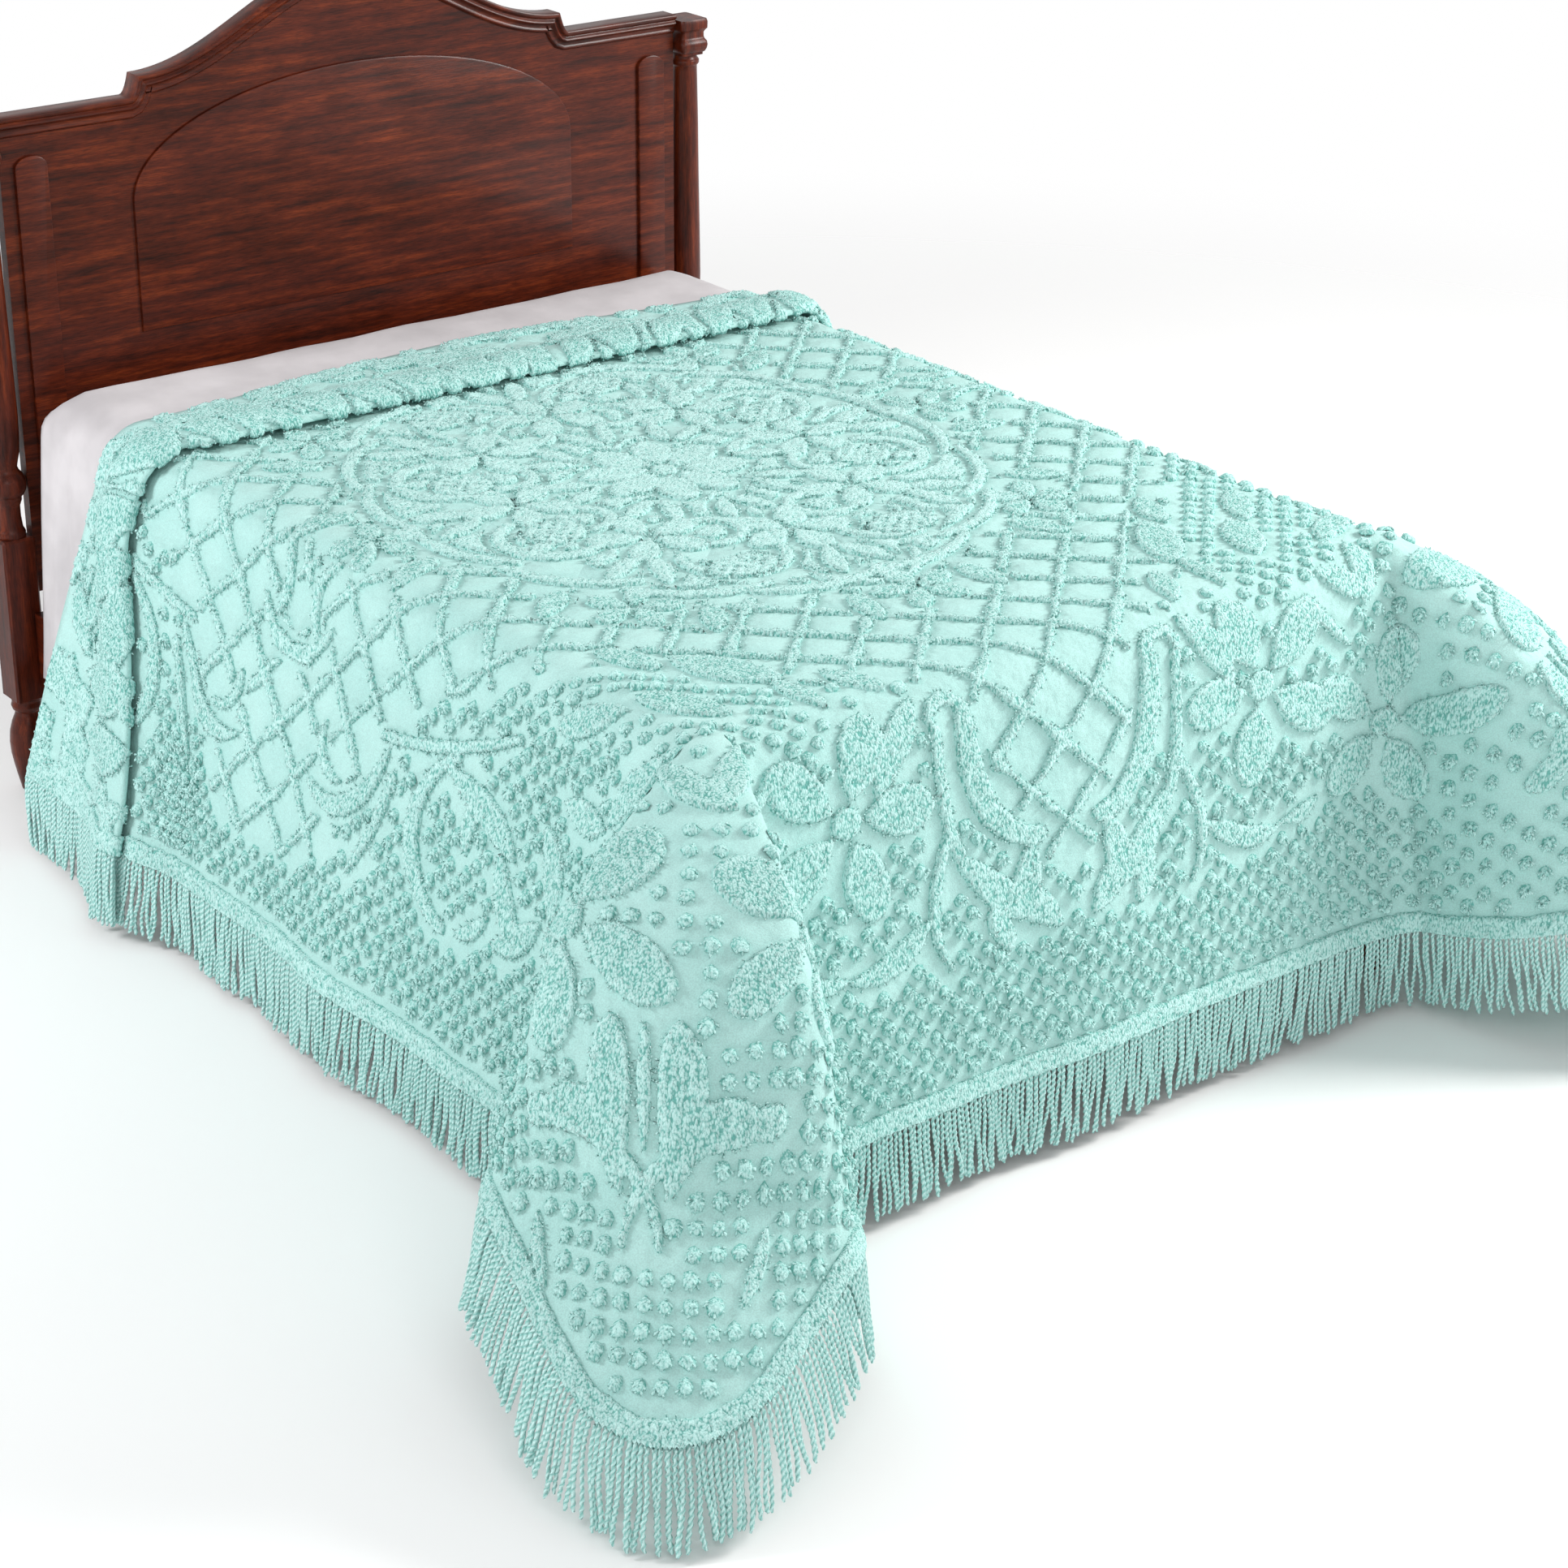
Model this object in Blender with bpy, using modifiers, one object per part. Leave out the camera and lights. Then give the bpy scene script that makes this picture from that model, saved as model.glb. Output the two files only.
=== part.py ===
"""Chenille bedspread with a fringe, draped over a plain double bed.

Metres, +Z up, the floor at z = 0. The bed stands with its foot towards -Y and its
headboard towards +Y. Everything is first built with the foot edge of the mattress
at y = 0, and is moved to the middle of the floor at the end.
"""
import math

import bmesh
import bpy
import numpy as np

# ---------------------------------------------------------------- driving sizes
MATTRESS_WIDTH = 1.372
MATTRESS_LENGTH = 1.905
MATTRESS_HEIGHT = 0.250
MATTRESS_TOP = 0.744
MATTRESS_ROLL = 0.073          # radius of the mattress's soft edges
BASE_HEIGHT = 0.235
SEAT_GAP = 0.0005              # air left between pieces that rest on each other

SHEET_THICK = 0.0015
SHEET_RISE = SEAT_GAP + SHEET_THICK / 2
SHEET_SIDE = 0.0025            # the sheet's middle layer, out from the mattress
SHEET_TILT = 6.0               # degrees that the hanging sheet leans outwards
SHEET_FALL = 0.560             # cloth from the start of the edge to the hem
SHEET_FOOT = 0.120
SHEET_HEAD = 1.890

SPREAD_THICK = 0.005           # ground cloth and the pile on it
SPREAD_RISE = SHEET_RISE + SHEET_THICK / 2 + SEAT_GAP + SPREAD_THICK / 2
SPREAD_SIDE = 0.009            # the spread's middle layer, out from the mattress
SPREAD_ROLL = MATTRESS_ROLL + SPREAD_SIDE
SPREAD_FALL = 0.672            # cloth from the start of the edge to the hem
FOOT_SHARE = 0.975             # the foot side hangs shorter by this factor
SPREAD_CORNER = 0.210          # radius of the spread's cut corners
SPREAD_HEAD = 1.715            # where the head edge lies on the mattress
FOOT_TILT = 10.0               # degrees that the foot side leans outwards
SIDE_TILT = 15.5
QUARTER_TURN = 1.05            # hem length of one corner's quarter turn of cloth
PATH_MIDDLE = QUARTER_TURN / 2

# Corner swags. Distances run along the hem, from 0 at the foot side of the corner to
# QUARTER_TURN at its long side; angles are in degrees.
SWAG_COLUMNS = ("tilt", "peak", "rise_from", "rise_to", "fall_from", "fall_to",
                "turn_from", "turn_to", "stretch", "swell")
SWAGS = {
    "left": (45.4, 4.0, -0.01, 0.29, 0.81, 1.26, -0.14, 1.26, 1.13, 0.10),
    "right": (45.0, 3.8, -0.06, 0.32, 0.80, 1.28, -0.16, 1.27, 1.09, 0.07),
}

# Slow waves in the hanging sides: (length, height at the hem, phase)
WAVE_COLUMNS = ("length", "height", "phase")
WAVES = {
    "left": ((0.62, 0.010, 0.4), (0.37, 0.006, 2.1)),
    "right": ((0.55, 0.012, 1.9), (0.31, 0.006, 0.3)),
    "foot": ((0.71, 0.008, 1.1), (0.43, 0.005, 2.9)),
}

# The soft pleat across the head end, where the cloth is tucked back under itself.
PLEAT_CREASE = 1.445           # the front edge of the pleat
PLEAT_DEPTH = 0.050
UNDER_TURN = 0.0055            # radius of the fold that is tucked away
UPPER_TURN = 0.0065            # radius of the fold that shows
PLEAT_SWELL = 0.006
PLEAT_SLOPE = 0.090            # length over which the pleat comes down to the bed

FRINGE_LENGTH = 0.124
FRINGE_THICK = 0.004
FRINGE_HEADER = 0.020
TASSEL_PITCH = 0.060
TASSEL_SHARE = 0.78            # the part of each pitch that its tassel fills
FRINGE_GAP = 0.0006

RAIL_THICK = 0.024
RAIL_HEIGHT = 0.140
RAIL_TOP = 0.340
LEDGE = 0.020
POST_X = 0.730
POST_SIZE = 0.062
POST_RING = 0.034              # radius of the ring on each post
POST_Y = MATTRESS_LENGTH + 0.050
SHOULDER_Z = 1.210             # the headboard's flat shoulders
ARCH_FOOT_Z = 1.246            # where its arch starts
ARCH_TOP_Z = 1.390
ARCH_HALF = 0.432
NOTCH = 0.018
PANEL_THICK = 0.022
PANEL_BOTTOM = 0.370
CREST_HEIGHT = 0.034
CREST_THICK = 0.046
FOOT_LEG = 0.056

SPREAD_COLOUR = (0.52, 0.82, 0.77)
SHEET_COLOUR = (0.84, 0.82, 0.83)
TICKING_COLOUR = (0.86, 0.85, 0.82)
WOOD_COLOUR = (0.10, 0.030, 0.018)


# ---------------------------------------------------------------- helpers
def clear_scene():
    for obj in list(bpy.data.objects):
        bpy.data.objects.remove(obj, do_unlink=True)


def material(name, colour, roughness):
    mat = bpy.data.materials.new(name)
    mat.use_nodes = True
    shader = mat.node_tree.nodes["Principled BSDF"]
    shader.inputs["Base Color"].default_value = (*colour, 1.0)
    shader.inputs["Roughness"].default_value = roughness
    shader.inputs["Metallic"].default_value = 0.0
    return mat


def add_object(name, bm, mat):
    mesh = bpy.data.meshes.new(name)
    bm.normal_update()
    bm.to_mesh(mesh)
    bm.free()
    mesh.materials.append(mat)
    obj = bpy.data.objects.new(name, mesh)
    bpy.context.collection.objects.link(obj)
    return obj


def thicken(obj, thickness):
    solid = obj.modifiers.new("thickness", "SOLIDIFY")
    solid.thickness = thickness
    solid.offset = 0.0
    solid.use_rim = True
    solid.use_even_offset = False
    bpy.context.view_layer.objects.active = obj
    bpy.ops.object.modifier_apply(modifier=solid.name)


def box(name, size, centre, mat, bevel=0.0):
    bm = bmesh.new()
    bmesh.ops.create_cube(bm, size=1.0)
    bmesh.ops.scale(bm, vec=size, verts=bm.verts)
    if bevel:
        bmesh.ops.bevel(bm, geom=bm.edges[:], offset=bevel, segments=1, affect="EDGES")
    obj = add_object(name, bm, mat)
    obj.location = centre
    return obj


def smooth(x):
    x = np.clip(x, 0.0, 1.0)
    return x * x * (3.0 - 2.0 * x)


def ramp(x, start, end):
    return smooth((x - start) / (end - start))


# ---------------------------------------------------------------- how the cloth falls
def fall(length, roll, tilt):
    """Go round a soft edge and then straight down: distance out, drop and turn."""
    arc = roll * (math.pi / 2 - tilt)
    bend = np.minimum(length, arc) / roll
    rest = np.maximum(length - arc, 0.0)
    out = roll * np.sin(bend) + rest * np.sin(tilt)
    drop = roll * (1.0 - np.cos(bend)) + rest * np.cos(tilt)
    return out, drop, bend


def swag_direction(path, swag):
    """Lean, heading, stretch and swell of the cloth that hangs at a place on the hem."""
    lean = FOOT_TILT + (SIDE_TILT - FOOT_TILT) * ramp(path, -0.2, QUARTER_TURN + 0.2)
    lift = ramp(path, swag["rise_from"], swag["rise_to"])
    lift = lift * (1.0 - ramp(path, swag["fall_from"], swag["fall_to"]))
    tip = np.exp(-((path - PATH_MIDDLE) / 0.22) ** 2)
    tilt = lean + (swag["tilt"] - lean) * lift + swag["peak"] * tip
    heading = 90.0 * ramp(path, swag["turn_from"], swag["turn_to"])
    stretch = 1.0 + (swag["stretch"] - 1.0) * tip
    stretch = stretch - (1.0 - FOOT_SHARE) * (1.0 - ramp(path, -0.2, 0.2))
    return np.radians(tilt), np.radians(heading), stretch, swag["swell"] * lift


def cut_corner(across, along):
    """Draw a square corner of cloth in to its rounded cut."""
    reach = np.hypot(across, along)
    angle = np.arctan2(across, along)
    cosine, sine = np.cos(angle), np.sin(angle)
    square = SPREAD_FALL / np.maximum(np.maximum(cosine, sine), 1e-6)
    core = SPREAD_FALL - SPREAD_CORNER
    inside = SPREAD_CORNER ** 2 - core ** 2 * (1.0 - 2.0 * sine * cosine)
    curved = core * (cosine + sine) + np.sqrt(np.maximum(inside, 0.0))
    cut = np.where(np.minimum(across, along) * SPREAD_FALL > core * np.maximum(across, along),
                   np.minimum(curved, square), square)
    share = np.clip(reach / square, 0.0, 1.0) ** 4
    pull = 1.0 - (1.0 - cut / square) * share
    return across * pull, along * pull


def pleat(along):
    """Turn a distance along the cloth into a distance along the bed and a height."""
    under = PLEAT_CREASE + PLEAT_DEPTH + UPPER_TURN
    marks = np.cumsum([under, math.pi * UNDER_TURN, PLEAT_DEPTH, math.pi * UPPER_TURN])
    low, high = 2 * UNDER_TURN, 2 * UNDER_TURN + 2 * UPPER_TURN
    first = (along - marks[0]) / UNDER_TURN
    second = (along - marks[2]) / UPPER_TURN
    onward = along - marks[3]
    slope = ramp(onward, PLEAT_DEPTH + 0.015, PLEAT_DEPTH + 0.015 + PLEAT_SLOPE)
    swell = PLEAT_SWELL * np.sin(np.pi * np.clip(onward / (PLEAT_DEPTH + 0.03), 0.0, 1.0))
    stages = [along <= marks[0], along <= marks[1], along <= marks[2], along <= marks[3]]
    place = np.select(stages, [along,
                               under + UNDER_TURN * np.sin(first),
                               under - (along - marks[1]),
                               PLEAT_CREASE + UPPER_TURN - UPPER_TURN * np.sin(second)],
                      PLEAT_CREASE + UPPER_TURN + onward)
    height = np.select(stages, [0.0 * along,
                                UNDER_TURN * (1.0 - np.cos(first)),
                                low + 0.0 * along,
                                low + UPPER_TURN * (1.0 - np.cos(second))],
                       high * (1.0 - slope) + swell)
    return place, height


def pleat_lines():
    """The rows of the cloth that the pleat needs, as distances along the cloth."""
    under = PLEAT_CREASE + PLEAT_DEPTH + UPPER_TURN
    marks = np.cumsum([under, math.pi * UNDER_TURN, PLEAT_DEPTH, math.pi * UPPER_TURN])
    end = marks[3] + SPREAD_HEAD - PLEAT_CREASE - UPPER_TURN
    return np.concatenate([np.linspace(PLEAT_CREASE - 0.020, marks[0], 3),
                           np.linspace(marks[0], marks[1], 5)[1:],
                           [marks[2]],
                           np.linspace(marks[2], marks[3], 5)[1:],
                           marks[3] + np.array([0.035, 0.070, 0.100, 0.130, 0.165]),
                           np.linspace(marks[3] + 0.165, end, 3)[1:]])


def waves(side, along, share):
    total = 0.0 * along
    for row in WAVES[side]:
        wave = dict(zip(WAVE_COLUMNS, row))
        turn = 2.0 * math.pi * along / wave["length"] + wave["phase"]
        total = total + wave["height"] * np.sin(turn)
    return total * share ** 1.3


def drape(across, along):
    """Where a point of the flat spread lies. Distances are from the middle and the foot."""
    half = MATTRESS_WIDTH / 2 - MATTRESS_ROLL
    top = MATTRESS_TOP + SPREAD_RISE
    place, height = pleat(along)
    result = np.zeros(across.shape + (3,))
    for side, sign in (("left", -1.0), ("right", 1.0)):
        mask = (across < 0.0) if sign < 0 else (across >= 0.0)
        swag = dict(zip(SWAG_COLUMNS, SWAGS[side]))
        over_side = np.maximum(np.abs(across[mask]) - half, 0.0)
        over_foot = np.maximum(MATTRESS_ROLL - along[mask], 0.0)
        over_side, over_foot = cut_corner(over_side, over_foot)
        reach = np.hypot(over_side, over_foot)
        angle = np.arctan2(over_side, over_foot)
        start_x = np.minimum(np.abs(across[mask]), half)
        start_y = np.maximum(place[mask], MATTRESS_ROLL)
        path = np.where(over_foot > 0.0, angle / (math.pi / 2) * QUARTER_TURN,
                        QUARTER_TURN + start_y - MATTRESS_ROLL)
        path = np.where((over_foot > 0.0) & (over_side <= 0.0), start_x - half, path)
        tilt, heading, stretch, swell = swag_direction(path, swag)
        flat = (over_side <= 0.0) & (over_foot <= 0.0)
        length = np.where(flat, 0.0, reach * stretch)
        out, drop, bend = fall(length, SPREAD_ROLL, tilt)
        share = length / SPREAD_FALL
        lift = height[mask] + swell * np.sin(np.pi * np.minimum(share, 1.0))
        calm = ramp(start_y, 0.30, 0.75)
        lift = lift + calm * waves(side, start_y, share) * (over_side > 0.0)
        calm = ramp(half - start_x, 0.25, 0.55)
        lift = lift + calm * waves("foot", sign * start_x, share) * (over_side <= 0.0)
        lift = lift + 0.022 * share * ramp(start_y, PLEAT_CREASE - 0.10, PLEAT_CREASE)
        out = out + lift * np.sin(bend)
        sweep = 0.05 * np.exp(-((share - 0.25) / 0.20) ** 2) - 0.13 * ramp(share, 0.25, 1.0)
        band = ramp(start_y, 1.15, PLEAT_CREASE) * (1.0 - ramp(start_y, 1.52, SPREAD_HEAD))
        drawn = np.where(over_side > 0.0, share / 0.6, (half - start_x) / 0.35)
        trail = np.where(over_side > 0.0, sweep * band, 0.0)
        trail = trail - 0.06 * np.exp(-drawn ** 2) * ramp(start_y, 1.52, SPREAD_HEAD)
        x = start_x + out * np.sin(heading)
        y = start_y - out * np.cos(heading) + trail
        z = top - drop + lift * np.cos(bend)
        result[mask] = np.stack([sign * x, y, z], axis=-1)
    return result


# ---------------------------------------------------------------- cloth pieces
def edge_lines():
    """Distances from the start of a soft edge to the hem, fine over the edge itself."""
    arc = SPREAD_ROLL * math.pi / 2
    return np.concatenate([np.linspace(0.0, arc, 6), np.linspace(arc, SPREAD_FALL, 9)[1:]])


def spread_lines():
    half = MATTRESS_WIDTH / 2 - MATTRESS_ROLL
    edge = edge_lines()
    across = np.concatenate([-half - edge[::-1], np.linspace(-half, half, 11)[1:-1],
                             half + edge])
    rows = np.linspace(MATTRESS_ROLL, PLEAT_CREASE - 0.020, 11)[1:-1]
    along = np.concatenate([MATTRESS_ROLL - edge[::-1], rows, pleat_lines()])
    return across, along


def grid(across_count, along_count):
    """A flat grid, and for each of its points the column and the row it is in."""
    bm = bmesh.new()
    bmesh.ops.create_grid(bm, x_segments=across_count - 1, y_segments=along_count - 1, size=0.5)
    flat = np.array([v.co[:] for v in bm.verts])
    column = np.rint((flat[:, 0] + 0.5) * (across_count - 1)).astype(int)
    row = np.rint((flat[:, 1] + 0.5) * (along_count - 1)).astype(int)
    return bm, column, row


def move_points(bm, points):
    for vert, point in zip(bm.verts, points):
        vert.co = point


def build_spread(mat):
    across, along = spread_lines()
    bm, column, row = grid(len(across), len(along))
    move_points(bm, drape(across[column], along[row]))
    obj = add_object("bedspread", bm, mat)
    thicken(obj, SPREAD_THICK)
    return obj


def fringe_edge():
    """The hem in space, with the direction in which the cloth above it runs down."""
    across, along = spread_lines()
    width, foot, head = across[-1], along[0], along[-1]
    fold = pleat_lines()
    side = np.concatenate([fold[::-1], np.arange(fold[0] - 0.02, foot, -0.02)])
    end = np.arange(-width, width, 0.02)
    flat = np.array([(-width, y) for y in side] + [(x, foot) for x in end]
                    + [(width, y) for y in side[::-1]])
    inner = flat * 1.0
    inner[:, 0] = np.clip(inner[:, 0], -width + 0.02, width - 0.02)
    inner[:, 1] = np.maximum(inner[:, 1], foot + 0.02)
    edge = drape(flat[:, 0], flat[:, 1])
    down = edge - drape(inner[:, 0], inner[:, 1])
    down /= np.linalg.norm(down, axis=1)[:, None]
    return edge, down


def resample(table, travelled, stops):
    """Read the columns of a table at other distances along the hem."""
    return np.stack([np.interp(stops, travelled, column) for column in table.T], axis=1)


def hem_bow(edge, travelled, stops):
    """How far the curved hem bows out from the straight runs between the stops."""
    ends = resample(edge, travelled, stops)
    middles = resample(edge, travelled, np.add(stops[1:], stops[:-1]) / 2)
    bow = np.linalg.norm(middles - (ends[1:] + ends[:-1]) / 2, axis=1)
    return np.maximum(np.append(bow, 0.0), np.insert(bow, 0, 0.0))


def build_fringe(mat):
    edge, down = fringe_edge()
    steps = np.linalg.norm(np.diff(edge, axis=0), axis=1)
    travelled = np.concatenate([[0.0], np.cumsum(steps)])
    count = int(travelled[-1] / TASSEL_PITCH)
    pitch = travelled[-1] / count
    stops = [pitch * (k + part) for k in range(count) for part in (0.0, TASSEL_SHARE)]
    clear = FRINGE_GAP + hem_bow(edge, travelled, stops)
    edge, down = resample(edge, travelled, stops), resample(down, travelled, stops)
    hang = 0.35 * down + np.array([0.0, 0.0, -1.0])
    hang /= np.linalg.norm(hang, axis=1)[:, None]
    kink = np.linalg.norm(np.cross(down, hang), axis=1)
    clear = clear + (FRINGE_THICK + SPREAD_THICK) / 2 * kink
    start = edge + down * clear[:, None]
    bm, column, row = grid(len(stops), 3)
    depth = np.array([FRINGE_LENGTH, FRINGE_HEADER, 0.0])
    move_points(bm, start[column] + hang[column] * depth[row][:, None])
    bm.faces.ensure_lookup_table()
    gaps = [f for f in bm.faces if is_gap(f, column, row)]
    bmesh.ops.delete(bm, geom=gaps, context="FACES")
    obj = add_object("fringe", bm, mat)
    thicken(obj, FRINGE_THICK)
    return obj


def is_gap(face, column, row):
    """True for the openings between tassels, below the header."""
    columns = [column[v.index] for v in face.verts]
    rows = [row[v.index] for v in face.verts]
    return min(rows) == 0 and min(columns) % 2 == 1


def build_sheet(mat):
    """The plain sheet lies on the mattress and hangs at both sides."""
    roll = MATTRESS_ROLL + SHEET_SIDE
    half = MATTRESS_WIDTH / 2 + SHEET_SIDE - roll
    arc = roll * math.pi / 2
    edge = np.concatenate([np.linspace(0.0, arc, 6), np.linspace(arc, SHEET_FALL, 5)[1:]])
    across = np.concatenate([-half - edge[::-1], [-half / 2, 0.0, half / 2], half + edge])
    head_roll = MATTRESS_LENGTH - MATTRESS_ROLL
    along = np.concatenate([np.linspace(SHEET_FOOT, head_roll, 7),
                            head_roll + (SHEET_HEAD - head_roll) * np.array([0.4, 0.75, 1.0])])
    bm, column, row = grid(len(across), len(along))
    flat_x, y = across[column], along[row]
    over = np.maximum(np.abs(flat_x) - half, 0.0)
    out, drop, bend = fall(over, roll, math.radians(SHEET_TILT))
    share = over / SHEET_FALL
    out = out + 0.006 * share * np.sin(2.0 * math.pi * y / 0.33)
    past = np.clip(y - head_roll, 0.0, None) / roll
    sink = roll * (1.0 - np.sqrt(1.0 - np.minimum(past, 0.95) ** 2)) * (1.0 - ramp(over, 0.0, arc))
    x = np.sign(flat_x) * (np.minimum(np.abs(flat_x), half) + out)
    z = MATTRESS_TOP + SHEET_RISE - drop - sink
    move_points(bm, np.stack([x, y, z], axis=1))
    obj = add_object("bed_sheet", bm, mat)
    thicken(obj, SHEET_THICK)
    return obj


def soft_box(name, low, high, radius, segments, mat):
    """A mattress or a base: a box with rounded edges."""
    bm = bmesh.new()
    bmesh.ops.create_cube(bm, size=1.0)
    size = [h - l for l, h in zip(low, high)]
    bmesh.ops.scale(bm, vec=size, verts=bm.verts)
    bmesh.ops.bevel(bm, geom=bm.edges[:], offset=radius, segments=segments, profile=0.5,
                    affect="EDGES")
    obj = add_object(name, bm, mat)
    obj.location = [(h + l) / 2 for l, h in zip(low, high)]
    return obj


# ---------------------------------------------------------------- bedstead
def arch_height(x):
    """Height of the headboard's top edge: an arch between two shoulders."""
    swing = ARCH_TOP_Z - ARCH_FOOT_Z
    return ARCH_FOOT_Z + swing * (1.0 + math.cos(math.pi * x / ARCH_HALF)) / 2.0


def headboard_top(drop):
    """The right half of the top edge, lowered by drop, from the middle outwards."""
    end = POST_X - POST_RING - SEAT_GAP
    arch = [(x, arch_height(x) - drop) for x in np.linspace(0.0, ARCH_HALF, 15)]
    bottom = SHOULDER_Z - drop
    notch = [(ARCH_HALF + NOTCH * t - 0.5 * drop, ARCH_FOOT_Z - drop
              - (ARCH_FOOT_Z - SHOULDER_Z) * (1.0 - (1.0 - t) ** 2)) for t in (0.4, 0.75, 1.0)]
    arch = [p for p in arch if p[0] < ARCH_HALF - 0.5 * drop - 0.004]
    arch.append((ARCH_HALF - 0.5 * drop, ARCH_FOOT_Z - drop))
    return arch + notch + [(end, bottom)]


def extruded(name, outline, y_low, y_high, mat):
    """A flat board in the XZ plane, from its outline."""
    bm = bmesh.new()
    face = bm.faces.new([bm.verts.new((x, y_low, z)) for x, z in outline])
    grown = bmesh.ops.extrude_face_region(bm, geom=[face])
    moved = [g for g in grown["geom"] if isinstance(g, bmesh.types.BMVert)]
    bmesh.ops.translate(bm, verts=moved, vec=(0.0, y_high - y_low, 0.0))
    bmesh.ops.recalc_face_normals(bm, faces=bm.faces[:])
    return add_object(name, bm, mat)


def mirrored(half_edge):
    return [(-x, z) for x, z in reversed(half_edge[1:])] + half_edge


def build_headboard(mat):
    panel_top = mirrored(headboard_top(CREST_HEIGHT + SEAT_GAP))
    end = panel_top[-1][0]
    outline = panel_top + [(end, PANEL_BOTTOM), (-end, PANEL_BOTTOM)]
    middle = POST_Y
    extruded("headboard_panel", outline, middle - PANEL_THICK / 2, middle + PANEL_THICK / 2, mat)
    crest = mirrored(headboard_top(0.0)) + mirrored(headboard_top(CREST_HEIGHT))[::-1]
    extruded("headboard_crest", crest, middle - CREST_THICK / 2, middle + CREST_THICK / 2, mat)


def build_arch_moulding(mat):
    """A thin half-round bead that frames an arched field on the headboard's face."""
    path = [(-0.46, 0.800), (-0.46, 1.030)]
    path += [(-0.46 * math.cos(t), 1.030 + 0.205 * math.sin(t))
             for t in np.linspace(0.0, math.pi, 19)[1:-1]]
    path += [(0.46, 1.030), (0.46, 0.800)]
    bm = bmesh.new()
    front = POST_Y - PANEL_THICK / 2 - SEAT_GAP
    ring = [(-0.010, 0.0), (-0.006, -0.008), (0.006, -0.008), (0.010, 0.0)]
    loops = []
    for k, (x, z) in enumerate(path):
        before, after = path[max(k - 1, 0)], path[min(k + 1, len(path) - 1)]
        run = (after[0] - before[0], after[1] - before[1])
        size = math.hypot(*run)
        side = (-run[1] / size, run[0] / size)
        loops.append([bm.verts.new((x + side[0] * a, front + b, z + side[1] * a))
                      for a, b in ring])
    for one, two in zip(loops, loops[1:]):
        for k in range(len(ring)):
            bm.faces.new((one[k], one[k - 1], two[k - 1], two[k]))
    bm.faces.new(loops[0])
    bm.faces.new(loops[-1][::-1])
    bmesh.ops.recalc_face_normals(bm, faces=bm.faces[:])
    return add_object("headboard_bead", bm, mat)


def turned(name, profile, centre, mat, sides=16):
    """A post turned on a lathe, from (radius, height) pairs."""
    bm = bmesh.new()
    verts = [bm.verts.new((r, 0.0, z)) for r, z in [(0.0, profile[0][1])] + profile
             + [(0.0, profile[-1][1])]]
    edges = [bm.edges.new(pair) for pair in zip(verts, verts[1:])]
    bmesh.ops.spin(bm, geom=verts + edges, cent=(0, 0, 0), axis=(0, 0, 1),
                   angle=2.0 * math.pi, steps=sides, use_merge=True)
    bmesh.ops.remove_doubles(bm, verts=bm.verts[:], dist=0.00005)
    bmesh.ops.recalc_face_normals(bm, faces=bm.faces[:])
    obj = add_object(name, bm, mat)
    obj.location = centre
    return obj


def build_posts(mat):
    # (radius, height) up the turned foot under the square part of each post
    foot = [(0.022, 0.000), (0.024, 0.012), (0.032, 0.050), (0.036, 0.090), (0.030, 0.130),
            (0.022, 0.150), (0.027, 0.162), (0.027, 0.1745)]
    square_low, square_high = 0.175, 0.480
    # and up the turned shaft above it, with its ring and its cap
    shaft = [(0.026, 0.4805), (0.022, 0.500), (0.020, 0.535), (0.024, 0.552), (0.031, 0.562),
             (POST_RING, 0.575), (0.031, 0.588), (0.024, 0.598), (0.022, 0.612), (0.028, 0.640),
             (0.030, 0.700), (0.026, 1.000), (0.024, 1.1295)]
    for side, sign in (("left", -1.0), ("right", 1.0)):
        x = sign * POST_X
        turned(f"headboard_foot_{side}", foot, (x, POST_Y, 0.0), mat)
        box(f"headboard_block_{side}", (POST_SIZE, POST_SIZE, square_high - square_low),
            (x, POST_Y, (square_high + square_low) / 2), mat, bevel=0.004)
        turned(f"headboard_post_{side}", shaft, (x, POST_Y, 0.0), mat)
        box(f"headboard_cap_{side}", (POST_SIZE, POST_SIZE + 0.012, 0.068),
            (x, POST_Y, 1.164), mat, bevel=0.008)


def rail_profile(sign):
    """An L of rail and ledge, seen along the bed: outer face, then the ledge inside."""
    outer = MATTRESS_WIDTH / 2 + 0.004 + RAIL_THICK
    inner = outer - RAIL_THICK
    low = RAIL_TOP - RAIL_HEIGHT
    points = [(outer, low), (outer, RAIL_TOP), (inner, RAIL_TOP), (inner, low + LEDGE),
              (inner - LEDGE, low + LEDGE), (inner - LEDGE, low)]
    return [(sign * x, z) for x, z in points]


def build_frame(mat):
    foot_end = -0.002
    head_end = POST_Y - POST_SIZE / 2 - SEAT_GAP
    for side, sign in (("left", -1.0), ("right", 1.0)):
        extruded(f"side_rail_{side}", rail_profile(sign), foot_end, head_end, mat)
        x = sign * (MATTRESS_WIDTH / 2 - 0.012)
        low = RAIL_TOP - RAIL_HEIGHT - SEAT_GAP
        leg = box(f"foot_leg_{side}", (FOOT_LEG, FOOT_LEG, low), (x, 0.024, low / 2), mat,
                  bevel=0.004)
        taper(leg, 0.7)
    width = 2 * (MATTRESS_WIDTH / 2 + 0.004 + RAIL_THICK)
    box("foot_rail", (width, RAIL_THICK, RAIL_HEIGHT),
        (0.0, foot_end - SEAT_GAP - RAIL_THICK / 2, RAIL_TOP - RAIL_HEIGHT / 2), mat)
    inner = MATTRESS_WIDTH - 0.004
    for number, y in enumerate((0.25, 0.95, 1.65), start=1):
        box(f"slat_{number}", (inner, 0.080, 0.018),
            (0.0, y, RAIL_TOP - RAIL_HEIGHT + LEDGE + SEAT_GAP + 0.009), mat)


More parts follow.
